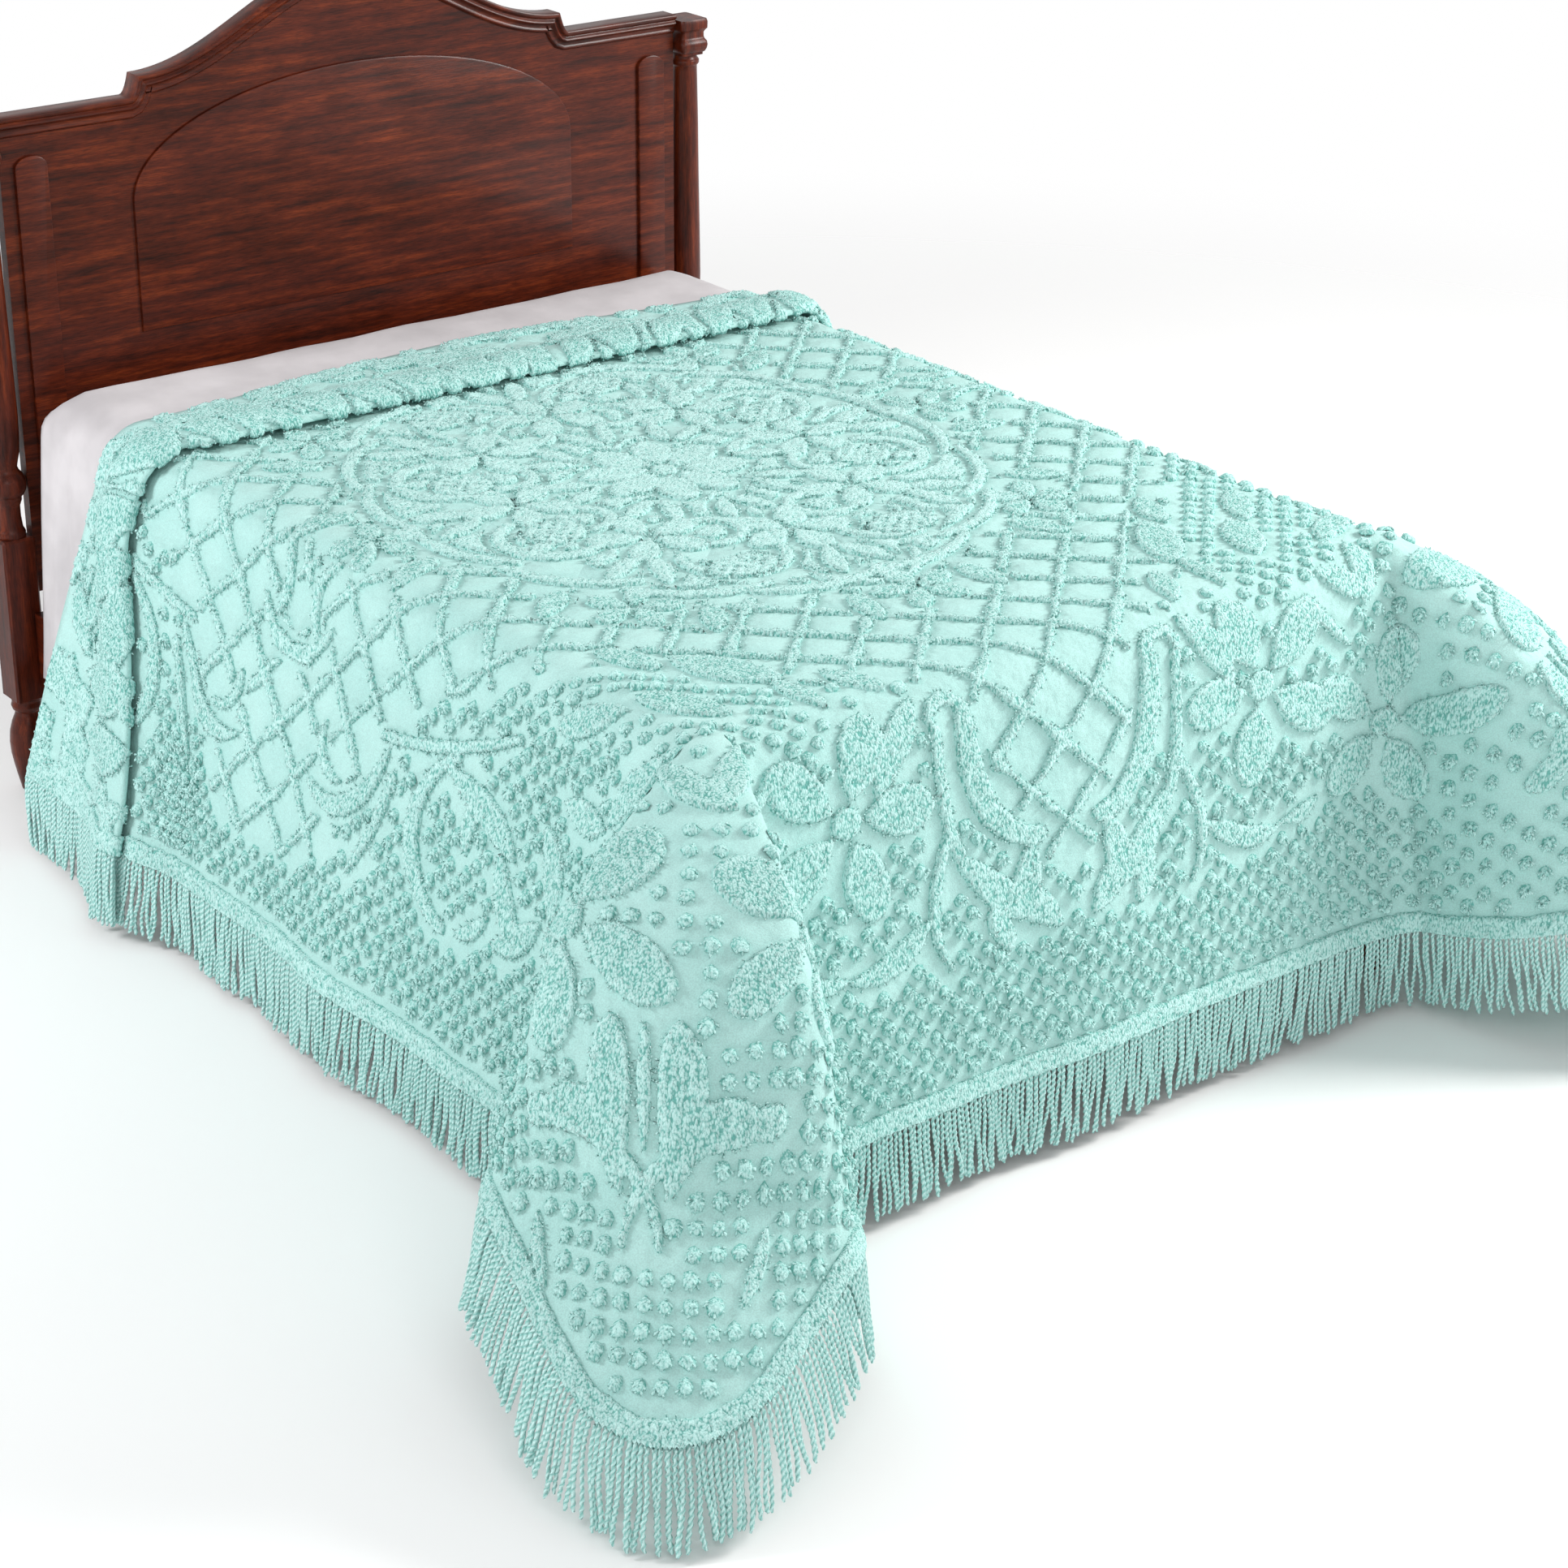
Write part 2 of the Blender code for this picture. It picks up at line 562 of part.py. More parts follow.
def taper(obj, share):
    """Draw a leg in towards its foot."""
    low = min(v.co.z for v in obj.data.vertices)
    high = max(v.co.z for v in obj.data.vertices)
    for vert in obj.data.vertices:
        scale = share + (1.0 - share) * (vert.co.z - low) / (high - low)
        vert.co.x *= scale
        vert.co.y *= scale


def build_bedding(ticking):
    half, length = MATTRESS_WIDTH / 2, MATTRESS_LENGTH
    low = MATTRESS_TOP - MATTRESS_HEIGHT
    soft_box("mattress", (-half, 0.0, low), (half, length, MATTRESS_TOP), MATTRESS_ROLL, 5,
             ticking)
    base_top = low - SEAT_GAP
    base_low = RAIL_TOP - RAIL_HEIGHT + LEDGE + 2 * SEAT_GAP + 0.018
    soft_box("box_base", (-half + 0.004, 0.006, base_low), (half - 0.004, length - 0.006, base_top),
             0.020, 2, ticking)


def centre_on_floor():
    """Move everything so that the middle of its footprint is the origin."""
    bpy.context.view_layer.update()
    corners = np.array([obj.matrix_world @ v.co for obj in bpy.data.objects
                        for v in obj.data.vertices])
    low, high = corners.min(axis=0), corners.max(axis=0)
    shift = (-(low[0] + high[0]) / 2, -(low[1] + high[1]) / 2, -low[2])
    for obj in bpy.data.objects:
        obj.location = [a + b for a, b in zip(obj.location, shift)]
    bpy.context.view_layer.update()


def main():
    clear_scene()
    chenille = material("chenille", SPREAD_COLOUR, 0.95)
    cotton = material("cotton", SHEET_COLOUR, 0.9)
    ticking = material("ticking", TICKING_COLOUR, 0.9)
    wood = material("mahogany", WOOD_COLOUR, 0.35)
    build_spread(chenille)
    build_fringe(chenille)
    build_sheet(cotton)
    build_bedding(ticking)
    build_headboard(wood)
    build_arch_moulding(wood)
    build_posts(wood)
    build_frame(wood)
    centre_on_floor()


main()
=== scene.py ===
"""Looks of the chenille bedspread on its bed: cloth, pile, fringe, bedding, wood and light.

Metres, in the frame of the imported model. The spread is worked out flat, by its distances
from the middle of the bed and from the foot edge of the mattress, and is then laid over
the bed by the same rules as its solid. Angles are in degrees unless a name says otherwise.
"""

import math
from collections import namedtuple
from types import SimpleNamespace

import bmesh
import bpy
import numpy as np
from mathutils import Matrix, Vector


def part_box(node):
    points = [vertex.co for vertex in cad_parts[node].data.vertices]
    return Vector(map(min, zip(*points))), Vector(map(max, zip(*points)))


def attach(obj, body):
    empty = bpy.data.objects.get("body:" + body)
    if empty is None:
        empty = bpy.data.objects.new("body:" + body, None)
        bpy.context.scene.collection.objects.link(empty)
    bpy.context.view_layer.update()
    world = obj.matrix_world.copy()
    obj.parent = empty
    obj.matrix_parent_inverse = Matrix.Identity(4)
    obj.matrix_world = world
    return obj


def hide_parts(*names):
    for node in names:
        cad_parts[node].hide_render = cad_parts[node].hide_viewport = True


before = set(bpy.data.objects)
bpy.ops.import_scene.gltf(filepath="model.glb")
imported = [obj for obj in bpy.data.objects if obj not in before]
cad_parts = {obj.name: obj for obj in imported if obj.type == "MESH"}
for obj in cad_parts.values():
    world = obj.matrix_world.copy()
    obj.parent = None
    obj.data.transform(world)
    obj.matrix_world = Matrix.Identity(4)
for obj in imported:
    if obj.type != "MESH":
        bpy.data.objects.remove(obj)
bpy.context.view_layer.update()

# ---------------------------------------------------------------- sizes shared with the solids
MATTRESS_WIDTH = 1.372
MATTRESS_LENGTH = 1.905
MATTRESS_TOP = 0.744
MATTRESS_ROLL = 0.073
HALF = MATTRESS_WIDTH / 2 - MATTRESS_ROLL

SHEET_RISE = 0.00125
SHEET_SIDE = 0.0025
SHEET_TILT = 6.0
SHEET_FALL = 0.560
SHEET_FOOT = 0.120
SHEET_HEAD = 1.890

SPREAD_RISE = 0.005
SPREAD_SIDE = 0.009
SPREAD_ROLL = MATTRESS_ROLL + SPREAD_SIDE
SPREAD_FALL = 0.672
FOOT_SHARE = 0.975
SPREAD_CORNER = 0.210
SPREAD_HEAD = 1.715
FOOT_TILT = 10.0
SIDE_TILT = 15.5
QUARTER_TURN = 1.05
PATH_MIDDLE = QUARTER_TURN / 2

# how the cloth swings out round each of the two foot corners, and its long waves
Swag = namedtuple("Swag", "tilt peak rise_from rise_to fall_from fall_to turn_from turn_to "
                          "stretch swell")
SWAGS = {
    "left": Swag(45.4, 4.0, -0.01, 0.29, 0.81, 1.26, -0.14, 1.26, 1.13, 0.10),
    "right": Swag(45.0, 3.8, -0.06, 0.32, 0.80, 1.28, -0.16, 1.27, 1.09, 0.07),
}
Wave = namedtuple("Wave", "length height phase")
WAVES = {
    "left": (Wave(0.62, 0.010, 0.4), Wave(0.37, 0.006, 2.1)),
    "right": (Wave(0.55, 0.012, 1.9), Wave(0.31, 0.006, 0.3)),
    "foot": (Wave(0.71, 0.008, 1.1), Wave(0.43, 0.005, 2.9)),
}
# the waves start and are at their full height this far from a foot corner
SIDE_WAVES_FROM = (0.30, 0.75)
FOOT_WAVES_FROM = (0.25, 0.55)

PLEAT_CREASE = 1.445
PLEAT_DEPTH = 0.050
UNDER_TURN = 0.0055
UPPER_TURN = 0.0065
PLEAT_SWELL = 0.006
PLEAT_SLOPE = 0.090
PLEAT_UNDER = PLEAT_CREASE + PLEAT_DEPTH + UPPER_TURN
PLEAT_MARKS = np.cumsum([PLEAT_UNDER, math.pi * UNDER_TURN, PLEAT_DEPTH,
                         math.pi * UPPER_TURN])
PLEAT_LIFT = 0.022             # how far the hem stands out beside the pleat

# how far the sides beside the pleat, and the cloth at the head, are drawn along the bed
SWEEP_UP = 0.05
SWEEP_DOWN = 0.13
SWEEP_FROM = (1.15, PLEAT_CREASE)
HEAD_DRAWN = 0.06
HEAD_DRAWN_FROM = (1.52, SPREAD_HEAD)

POST_X = 0.730
POST_Y = MATTRESS_LENGTH + 0.050
POST_RING = 0.034
SHOULDER_Z = 1.210
ARCH_FOOT_Z = 1.246
ARCH_TOP_Z = 1.390
ARCH_HALF = 0.432
NOTCH = 0.018
CREST_HEIGHT = 0.034
CREST_THICK = 0.046
PANEL_THICK = 0.022
PANEL_BOTTOM = 0.370

# the tufted pattern: its middle line, the height of its centre, and its lattice's steps
PATTERN_MIDDLE = -0.070
PATTERN_CENTRE = 1.000
LATTICE_STEP = (0.126, 0.123)

# the flat spread: its hems and its head edge
HEM_SIDE = HALF + SPREAD_FALL
HEM_FOOT = MATTRESS_ROLL - SPREAD_FALL
HEM_HEAD = PLEAT_MARKS[3] + SPREAD_HEAD - PLEAT_CREASE - UPPER_TURN

GRAVITY = np.array([0.0, 0.0, -1.0])
mattress_low, mattress_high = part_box("mattress")
ORIGIN = np.array([(mattress_low.x + mattress_high.x) / 2, mattress_low.y,
                   mattress_high.z - MATTRESS_TOP])


# ---------------------------------------------------------------- helpers
def smooth(x):
    x = np.clip(x, 0.0, 1.0)
    return x * x * (3.0 - 2.0 * x)


def ramp(x, start, end):
    return smooth((x - start) / (end - start))


def unit(vectors):
    return vectors / np.maximum(np.linalg.norm(vectors, axis=-1), 1e-9)[..., None]


def cos_sin(degrees):
    return math.cos(math.radians(degrees)), math.sin(math.radians(degrees))


def srgb(red, green, blue):
    """A colour given as it looks, as the shader wants it."""
    return tuple(c / 12.92 if c < 0.04045 else ((c + 0.055) / 1.055) ** 2.4
                 for c in (red, green, blue))


def put_in_scene(name, data, place_at=(0.0, 0.0, 0.0)):
    obj = bpy.data.objects.new(name, data)
    bpy.context.collection.objects.link(obj)
    obj.location = place_at
    return obj


def mesh_piece(name, points, faces, mat, tone=None):
    """A mesh object from an array of points and an array of equal-sided faces.

    "tone" tells the yarn materials how light each point is, from 0 in the gaps to 1 at
    the tips: painted shade in the gaps and painted highlights at the tips.
    """
    mesh = bpy.data.meshes.new(name)
    corners = faces.shape[1]
    mesh.vertices.add(len(points))
    mesh.vertices.foreach_set("co", np.asarray(points, np.float32).ravel())
    mesh.loops.add(faces.size)
    mesh.loops.foreach_set("vertex_index", faces.astype(np.int32).ravel())
    mesh.polygons.add(len(faces))
    mesh.polygons.foreach_set("loop_start", np.arange(0, faces.size, corners, dtype=np.int32))
    mesh.update(calc_edges=True)
    mesh.polygons.foreach_set("use_smooth", np.full(len(faces), True))
    if tone is not None:
        layer = mesh.attributes.new("tone", "FLOAT", "POINT")
        layer.data.foreach_set("value", np.asarray(tone, np.float32).ravel())
    mesh.materials.append(mat)
    return put_in_scene(name, mesh)


def finish_body(bm, mesh, sharp=180.0):
    """Write a closed body into its mesh, smooth but for the edges past an angle."""
    bmesh.ops.recalc_face_normals(bm, faces=bm.faces[:])
    bm.to_mesh(mesh)
    bm.free()
    mesh.shade_smooth()
    if sharp < 180.0:
        mesh.set_sharp_from_angle(angle=math.radians(sharp))


def capped_tube(name, rings, mat, sharp):
    """A closed body from rows of points that go round it, with a flat face at both ends."""
    count, around = rings.shape[:2]
    obj = mesh_piece(name, rings.reshape(-1, 3), grid_faces(count, around, wrap=True), mat)
    bm = bmesh.new()
    bm.from_mesh(obj.data)
    bm.verts.ensure_lookup_table()
    for first in (0, (count - 1) * around):
        bm.faces.new([bm.verts[first + k] for k in range(around)])
    finish_body(bm, obj.data, sharp)
    return obj


def corner_map(obj, name, places):
    """A UV map from one place for every corner of every face, in the faces' order."""
    layer = obj.data.uv_layers.new(name=name)
    layer.uv.foreach_set("vector", places.astype(np.float32).ravel())


def point_map(obj, name, places):
    """A UV map that gives each vertex the same place in all its faces."""
    vertex = np.zeros(len(obj.data.loops), np.int32)
    obj.data.loops.foreach_get("vertex_index", vertex)
    corner_map(obj, name, places[vertex])


def cell_map(obj, spots, wide, margin=(0.06, 0.06)):
    """A bake map that gives each equal patch of faces its own cell.

    The map is so many times "wide" in cells as it is high.
    """
    columns = math.ceil(math.sqrt(len(spots) * wide))
    rows = math.ceil(len(spots) / columns)
    number = np.arange(len(spots))
    cell = np.stack([number % columns, number // columns], axis=1)[:, None]
    margin = np.array(margin)
    corner_map(obj, "OFBake", (cell + margin + (1 - 2 * margin) * spots) / (columns, rows))


def grid_faces(rows, columns, wrap=False):
    """The quads of a grid whose points are numbered row by row."""
    row, column = np.meshgrid(np.arange(rows - 1), np.arange(columns - (not wrap)),
                              indexing="ij")
    after = (column + 1) % columns
    return np.stack([row * columns + column, row * columns + after,
                     (row + 1) * columns + after, (row + 1) * columns + column],
                    axis=-1).reshape(-1, 4)


def repeated(faces, points_each, count):
    """The faces of many like bodies, whose points follow each other."""
    steps = points_each * np.arange(count)[:, None, None]
    return (faces[None] + steps).reshape(-1, faces.shape[1])


def corners_of(solid):
    """The low and the high corner of a solid's box."""
    return (np.array(corner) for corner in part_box(solid))


def solidify(obj, thickness):
    solid = obj.modifiers.new("thickness", "SOLIDIFY")
    solid.thickness = thickness
    solid.offset = 0.0
    bpy.context.view_layer.objects.active = obj
    bpy.ops.object.modifier_apply(modifier=solid.name)


def place(obj, slot, *replaced):
    """A piece rides with the bed and stands for its solids, which it hides; its slot is not
    used.
    """
    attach(obj, "root")
    if replaced:
        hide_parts(*replaced)
    return obj


# ---------------------------------------------------------------- how the spread lies
def fall(length, roll, tilt):
    """Go round a soft edge and then straight down: distance out, drop and turn."""
    arc = roll * (math.pi / 2 - tilt)
    bend = np.minimum(length, arc) / roll
    rest = np.maximum(length - arc, 0.0)
    out = roll * np.sin(bend) + rest * np.sin(tilt)
    drop = roll * (1.0 - np.cos(bend)) + rest * np.cos(tilt)
    return out, drop, bend


def swag_direction(path, swag):
    """Lean, heading, stretch and swell of the cloth that hangs at a place on the hem."""
    lean = FOOT_TILT + (SIDE_TILT - FOOT_TILT) * ramp(path, -0.2, QUARTER_TURN + 0.2)
    lift = ramp(path, swag.rise_from, swag.rise_to)
    lift = lift * (1.0 - ramp(path, swag.fall_from, swag.fall_to))
    tip = np.exp(-((path - PATH_MIDDLE) / 0.22) ** 2)
    tilt = lean + (swag.tilt - lean) * lift + swag.peak * tip
    heading = 90.0 * ramp(path, swag.turn_from, swag.turn_to)
    stretch = 1.0 + (swag.stretch - 1.0) * tip
    stretch = stretch - (1.0 - FOOT_SHARE) * (1.0 - ramp(path, -0.2, 0.2))
    return np.radians(tilt), np.radians(heading), stretch, swag.swell * lift


def cut_corner(across, along):
    """Draw a square corner of cloth in to its rounded cut."""
    reach = np.hypot(across, along)
    angle = np.arctan2(across, along)
    cosine, sine = np.cos(angle), np.sin(angle)
    square = SPREAD_FALL / np.maximum(np.maximum(cosine, sine), 1e-6)
    core = SPREAD_FALL - SPREAD_CORNER
    inside = SPREAD_CORNER ** 2 - core ** 2 * (1.0 - 2.0 * sine * cosine)
    curved = core * (cosine + sine) + np.sqrt(np.maximum(inside, 0.0))
    cut = np.where(np.minimum(across, along) * SPREAD_FALL > core * np.maximum(across, along),
                   np.minimum(curved, square), square)
    share = np.clip(reach / square, 0.0, 1.0) ** 4
    pull = 1.0 - (1.0 - cut / square) * share
    return across * pull, along * pull


def over_edges(across, along):
    """How far a point of the flat spread is past the side and the foot of the bed's top."""
    return np.maximum(np.abs(across) - HALF, 0.0), np.maximum(MATTRESS_ROLL - along, 0.0)


def trimmed(across, along):
    """Move the points of a rectangle of cloth inside the spread's rounded cut."""
    side, foot = over_edges(across, along)
    cut_side, cut_foot = cut_corner(side, foot)
    return (np.where(side > 0.0, np.sign(across) * (HALF + cut_side), across),
            np.where(foot > 0.0, MATTRESS_ROLL - cut_foot, along))


def pleat(along):
    """Turn a distance along the cloth into a distance along the bed and a height."""
    low, high = 2 * UNDER_TURN, 2 * UNDER_TURN + 2 * UPPER_TURN
    first = (along - PLEAT_MARKS[0]) / UNDER_TURN
    second = (along - PLEAT_MARKS[2]) / UPPER_TURN
    onward = along - PLEAT_MARKS[3]
    slope = ramp(onward, PLEAT_DEPTH + 0.015, PLEAT_DEPTH + 0.015 + PLEAT_SLOPE)
    swell = PLEAT_SWELL * np.sin(np.pi * np.clip(onward / (PLEAT_DEPTH + 0.03), 0.0, 1.0))
    stages = [along <= mark for mark in PLEAT_MARKS]
    on_bed = np.select(stages, [along,
                                PLEAT_UNDER + UNDER_TURN * np.sin(first),
                                PLEAT_UNDER - (along - PLEAT_MARKS[1]),
                                PLEAT_CREASE + UPPER_TURN - UPPER_TURN * np.sin(second)],
                       PLEAT_CREASE + UPPER_TURN + onward)
    height = np.select(stages, [0.0 * along,
                                UNDER_TURN * (1.0 - np.cos(first)),
                                low + 0.0 * along,
                                low + UPPER_TURN * (1.0 - np.cos(second))],
                       high * (1.0 - slope) + swell)
    return on_bed, height


def waves(side, along, share):
    total = 0.0 * along
    for wave in WAVES[side]:
        turn = 2.0 * math.pi * along / wave.length + wave.phase
        total = total + wave.height * np.sin(turn)
    return total * share ** 1.3


# Soft creases and dips of the cloth: (across, along) of the middle, the heading
# of the crease, its length and width, and its height, which is below 0 in a trough.
Crease = namedtuple("Crease", "across along heading length width height")
CREASES = (
    Crease(-0.30, 0.30, 35.0, 0.34, 0.055, -0.0008),
    Crease(0.18, 0.52, 120.0, 0.40, 0.060, 0.0024),
    Crease(0.42, 0.86, 70.0, 0.36, 0.050, 0.0022),
    Crease(-0.42, 0.98, 100.0, 0.42, 0.055, 0.0020),
    Crease(-0.10, 1.22, 10.0, 0.50, 0.050, 0.0026),
    Crease(0.36, 1.30, 155.0, 0.34, 0.045, 0.0020),
    Crease(-0.52, 1.32, 60.0, 0.24, 0.040, 0.0025),
    Crease(0.10, -0.28, 84.0, 0.30, 0.045, -0.0045),
    Crease(-0.24, -0.33, 98.0, 0.28, 0.040, 0.0035),
    Crease(0.38, -0.36, 76.0, 0.30, 0.045, 0.0045),
    Crease(-0.98, 0.62, 8.0, 0.30, 0.045, 0.0045),
    Crease(-1.02, 0.98, -6.0, 0.32, 0.045, -0.0045),
    Crease(-0.96, 1.28, 5.0, 0.30, 0.040, -0.0060),
    Crease(0.99, 0.70, -7.0, 0.32, 0.045, 0.0045),
    Crease(1.01, 1.15, 6.0, 0.34, 0.045, -0.0050),
)


def creases(across, along):
    """The height that the soft creases add to the cloth, which is flat beside the pleat."""
    total = 0.0 * across
    for crease in CREASES:
        cosine, sine = cos_sin(crease.heading)
        run = (across - crease.across) * cosine + (along - crease.along) * sine
        off = (along - crease.along) * cosine - (across - crease.across) * sine
        off = off + 0.10 * crease.length * (run / crease.length * 2.0) ** 2
        total = total + crease.height * np.exp(
            -(run / (0.5 * crease.length)) ** 2 - (off / (0.5 * crease.width)) ** 2)
    return total * (1.0 - ramp(along, PLEAT_CREASE - 0.10, PLEAT_CREASE - 0.02))


def drawn_along(start_x, start_y, on_side, share):
    """How far the cloth near the pleat and at the head is drawn along the bed."""
    at_head = ramp(start_y, *HEAD_DRAWN_FROM)
    sweep = SWEEP_UP * np.exp(-((share - 0.25) / 0.20) ** 2)
    sweep = sweep - SWEEP_DOWN * ramp(share, 0.25, 1.0)
    band = ramp(start_y, *SWEEP_FROM) * (1.0 - at_head)
    reach = np.where(on_side, share / 0.6, (HALF - start_x) / 0.35)
    return np.where(on_side, sweep * band, 0.0) - HEAD_DRAWN * np.exp(-reach ** 2) * at_head


def lie_half(side, sign, across, along, on_bed, height):
    """Where points of one half of the flat spread lie, by its side of the bed."""
    over_side, over_foot = over_edges(across, along)
    on_side, on_foot = over_side > 0.0, over_foot > 0.0
    start_x = np.minimum(np.abs(across), HALF)
    start_y = np.maximum(on_bed, MATTRESS_ROLL)
    angle = np.arctan2(over_side, over_foot)
    path = np.where(on_foot, angle / (math.pi / 2) * QUARTER_TURN,
                    QUARTER_TURN + start_y - MATTRESS_ROLL)
    path = np.where(on_foot & ~on_side, start_x - HALF, path)
    tilt, heading, stretch, swell = swag_direction(path, SWAGS[side])
    length = np.hypot(over_side, over_foot) * stretch * (on_side | on_foot)
    out, drop, bend = fall(length, SPREAD_ROLL, tilt)
    share = length / SPREAD_FALL
    lift = height + swell * np.sin(np.pi * np.minimum(share, 1.0))
    on_straight = ramp(start_y, *SIDE_WAVES_FROM)
    lift = lift + on_straight * waves(side, start_y, share) * on_side
    on_straight = ramp(HALF - start_x, *FOOT_WAVES_FROM)
    lift = lift + on_straight * waves("foot", sign * start_x, share) * ~on_side
    lift = lift + PLEAT_LIFT * share * ramp(start_y, PLEAT_CREASE - 0.10, PLEAT_CREASE)
    out = out + lift * np.sin(bend)
    x = start_x + out * np.sin(heading)
    y = start_y - out * np.cos(heading) + drawn_along(start_x, start_y, on_side, share)
    z = MATTRESS_TOP + SPREAD_RISE - drop + lift * np.cos(bend)
    return np.stack([sign * x, y, z], axis=-1)


def lie(across, along):
    """Where points of the flat spread lie over the bed."""
    across, along = np.asarray(across, float), np.asarray(along, float)
    on_bed, height = pleat(along)
    height = height + creases(across, along)
    result = np.zeros(across.shape + (3,))
    for side, sign, mask in (("left", -1.0, across < 0.0), ("right", 1.0, across >= 0.0)):
        result[mask] = lie_half(side, sign, across[mask], along[mask], on_bed[mask],
                                height[mask])
    return result + ORIGIN


def frame_on(across, along, step=0.003):
    """Place, both directions of the cloth and its outward direction at flat points."""
    point = lie(across, along)
    right = unit(lie(across + step, along) - lie(across - step, along))
    up = unit(lie(across, along + step) - lie(across, along - step))
    return point, right, up, unit(np.cross(right, up))


# ---------------------------------------------------------------- materials
# The pile's ramp runs from painted shade in its gaps (PILE_DARK) to painted highlights on its
# yarn tips (PILE_LIGHT).
PILE_LIGHT = srgb(0.820, 0.965, 0.950)
PILE_MIDDLE = srgb(0.730, 0.902, 0.885)
PILE_DARK = srgb(0.440, 0.705, 0.672)
FRINGE_DARK = srgb(0.570, 0.805, 0.778)
GROUND_LIGHT = srgb(0.718, 0.876, 0.858)
GROUND_DARK = srgb(0.680, 0.850, 0.832)
SHEET_COLOURS = (srgb(0.80, 0.785, 0.795), srgb(0.73, 0.715, 0.725))
PIPING_COLOURS = (srgb(0.84, 0.84, 0.82), srgb(0.74, 0.74, 0.73))
TICKING = srgb(0.90, 0.89, 0.865)
TICKING_STRIPE = srgb(0.76, 0.77, 0.78)
WOOD_DARK = srgb(0.16, 0.048, 0.022)
WOOD_MIDDLE = srgb(0.33, 0.112, 0.042)
WOOD_LIGHT = srgb(0.47, 0.190, 0.072)
DOT_CONTRAST = 0.70            # how much of the pile's speckle the small dots show
PILLOW_RISE = 0.0090           # how far the cloth swells between lines of tufts
PLY_PITCH = 0.0094             # from one ply of a twisted strand to the next


def new_look(name, rough, specular, sheen=0.0):
    """A material with its node tree, its shader and the object's own coordinates."""
    mat = bpy.data.materials.new(name)
    mat.use_nodes = True
    tree = mat.node_tree
    shader = tree.nodes["Principled BSDF"]
    shader.inputs["Roughness"].default_value = rough
    shader.inputs["Specular IOR Level"].default_value = specular
    shader.inputs["Sheen Weight"].default_value = sheen
    return mat, tree, shader, node(tree, "ShaderNodeTexCoord").outputs["Object"]


def node(tree, kind, inputs=(), **settings):
    """A shader node, whose inputs are numbers or the outputs of other nodes."""
    made = tree.nodes.new(kind)
    for key, value in settings.items():
        setattr(made, key, value)
    for key, value in dict(inputs).items():
        if isinstance(value, bpy.types.NodeSocket):
            tree.links.new(value, made.inputs[key])
        else:
            made.inputs[key].default_value = value
    return made


def maths(tree, operation, *values):
    return node(tree, "ShaderNodeMath", enumerate(values), operation=operation).outputs[0]


def vector_maths(tree, operation, *values, result=0):
    made = node(tree, "ShaderNodeVectorMath", enumerate(values), operation=operation)
    return made.outputs[result]


def moved_range(tree, value, old, new=(0.0, 1.0), **settings):
    """A number moved from one range to another, and held inside it."""
    made = node(tree, "ShaderNodeMapRange", {
        "Value": value, "From Min": old[0], "From Max": old[1], "To Min": new[0],
        "To Max": new[1]}, **settings)
    return made.outputs[0]


def blend_colours(tree, factor, stops):
    """A colour ramp over a factor, from pairs of a position and a colour or a grey."""
    made = node(tree, "ShaderNodeValToRGB", {"Fac": factor})
    elements = made.color_ramp.elements
    for _ in range(len(stops) - 2):
        elements.new(0.5)
    for element, (position, colour) in zip(elements, stops):
        element.position = position
        element.color = (*np.broadcast_to(colour, 3), 1.0)
    return made.outputs["Color"]


def paint(tree, shader, colour, *shades):
    """Give the shader a colour, after it is multiplied by each of the shades."""
    for shade in shades:
        made = node(tree, "ShaderNodeMix", {"Factor": 1.0, 6: colour, 7: shade},
                    data_type="RGBA", blend_type="MULTIPLY")
        colour = made.outputs[2]
    tree.links.new(colour, shader.inputs["Base Color"])


def emboss(tree, shader, *layers):
    """Raise the surface by layers of a height, its distance in metres and its strength."""
    under = None
    for height, distance, strength in layers:
        made = node(tree, "ShaderNodeBump", {"Height": height, "Distance": distance,
                                             "Strength": strength})
        if under is not None:
            tree.links.new(under, made.inputs["Normal"])
        under = made.outputs["Normal"]
    tree.links.new(under, shader.inputs["Normal"])


def noise(tree, where, scale, detail=2.0, roughness=0.5):
    made = node(tree, "ShaderNodeTexNoise", {"Vector": where, "Scale": scale,
                                             "Detail": detail, "Roughness": roughness})
    return made.outputs["Fac"]


def stripes(tree, where, scale, distortion, detail, direction):
    made = node(tree, "ShaderNodeTexWave", {"Vector": where, "Scale": scale, "Detail": detail,
                                            "Distortion": distortion},
                bands_direction=direction)
    return made.outputs["Fac"]


def pile_material(name, contrast):
    """Cut cotton pile: bright yarn ends with painted shade in the dark gaps between them."""
    mat, tree, shader, coords = new_look(name, rough=0.95, specular=0.05, sheen=0.05)
    tone = node(tree, "ShaderNodeAttribute", attribute_name="tone").outputs["Fac"]
    hanging = node(tree, "ShaderNodeMapping",
                   {"Vector": coords, "Scale": (1.0, 1.0, 0.45)}).outputs[0]
    ends = noise(tree, hanging, scale=560.0, roughness=0.6)
    gaps = node(tree, "ShaderNodeTexVoronoi",
                {"Vector": hanging, "Scale": 330.0}).outputs["Distance"]
    # the gaps and the tone darken the colour: painted shade between the yarn ends
    speckle = maths(tree, "ADD", maths(tree, "MULTIPLY_ADD", gaps, -0.85, 0.41),
                    maths(tree, "MULTIPLY_ADD", ends, 0.6, -0.30))
    tint = blend_colours(tree, maths(tree, "MULTIPLY_ADD", speckle, contrast, tone),
                         ((0.14, PILE_DARK), (0.46, PILE_MIDDLE), (0.90, PILE_LIGHT)))
    drift = blend_colours(tree, noise(tree, coords, scale=3.0), ((0.30, 0.93), (0.70, 1.0)))
    paint(tree, shader, tint, drift)
    emboss(tree, shader, (gaps, -0.0030, 0.8 * contrast), (ends, 0.0020, 0.6 * contrast))
    return mat


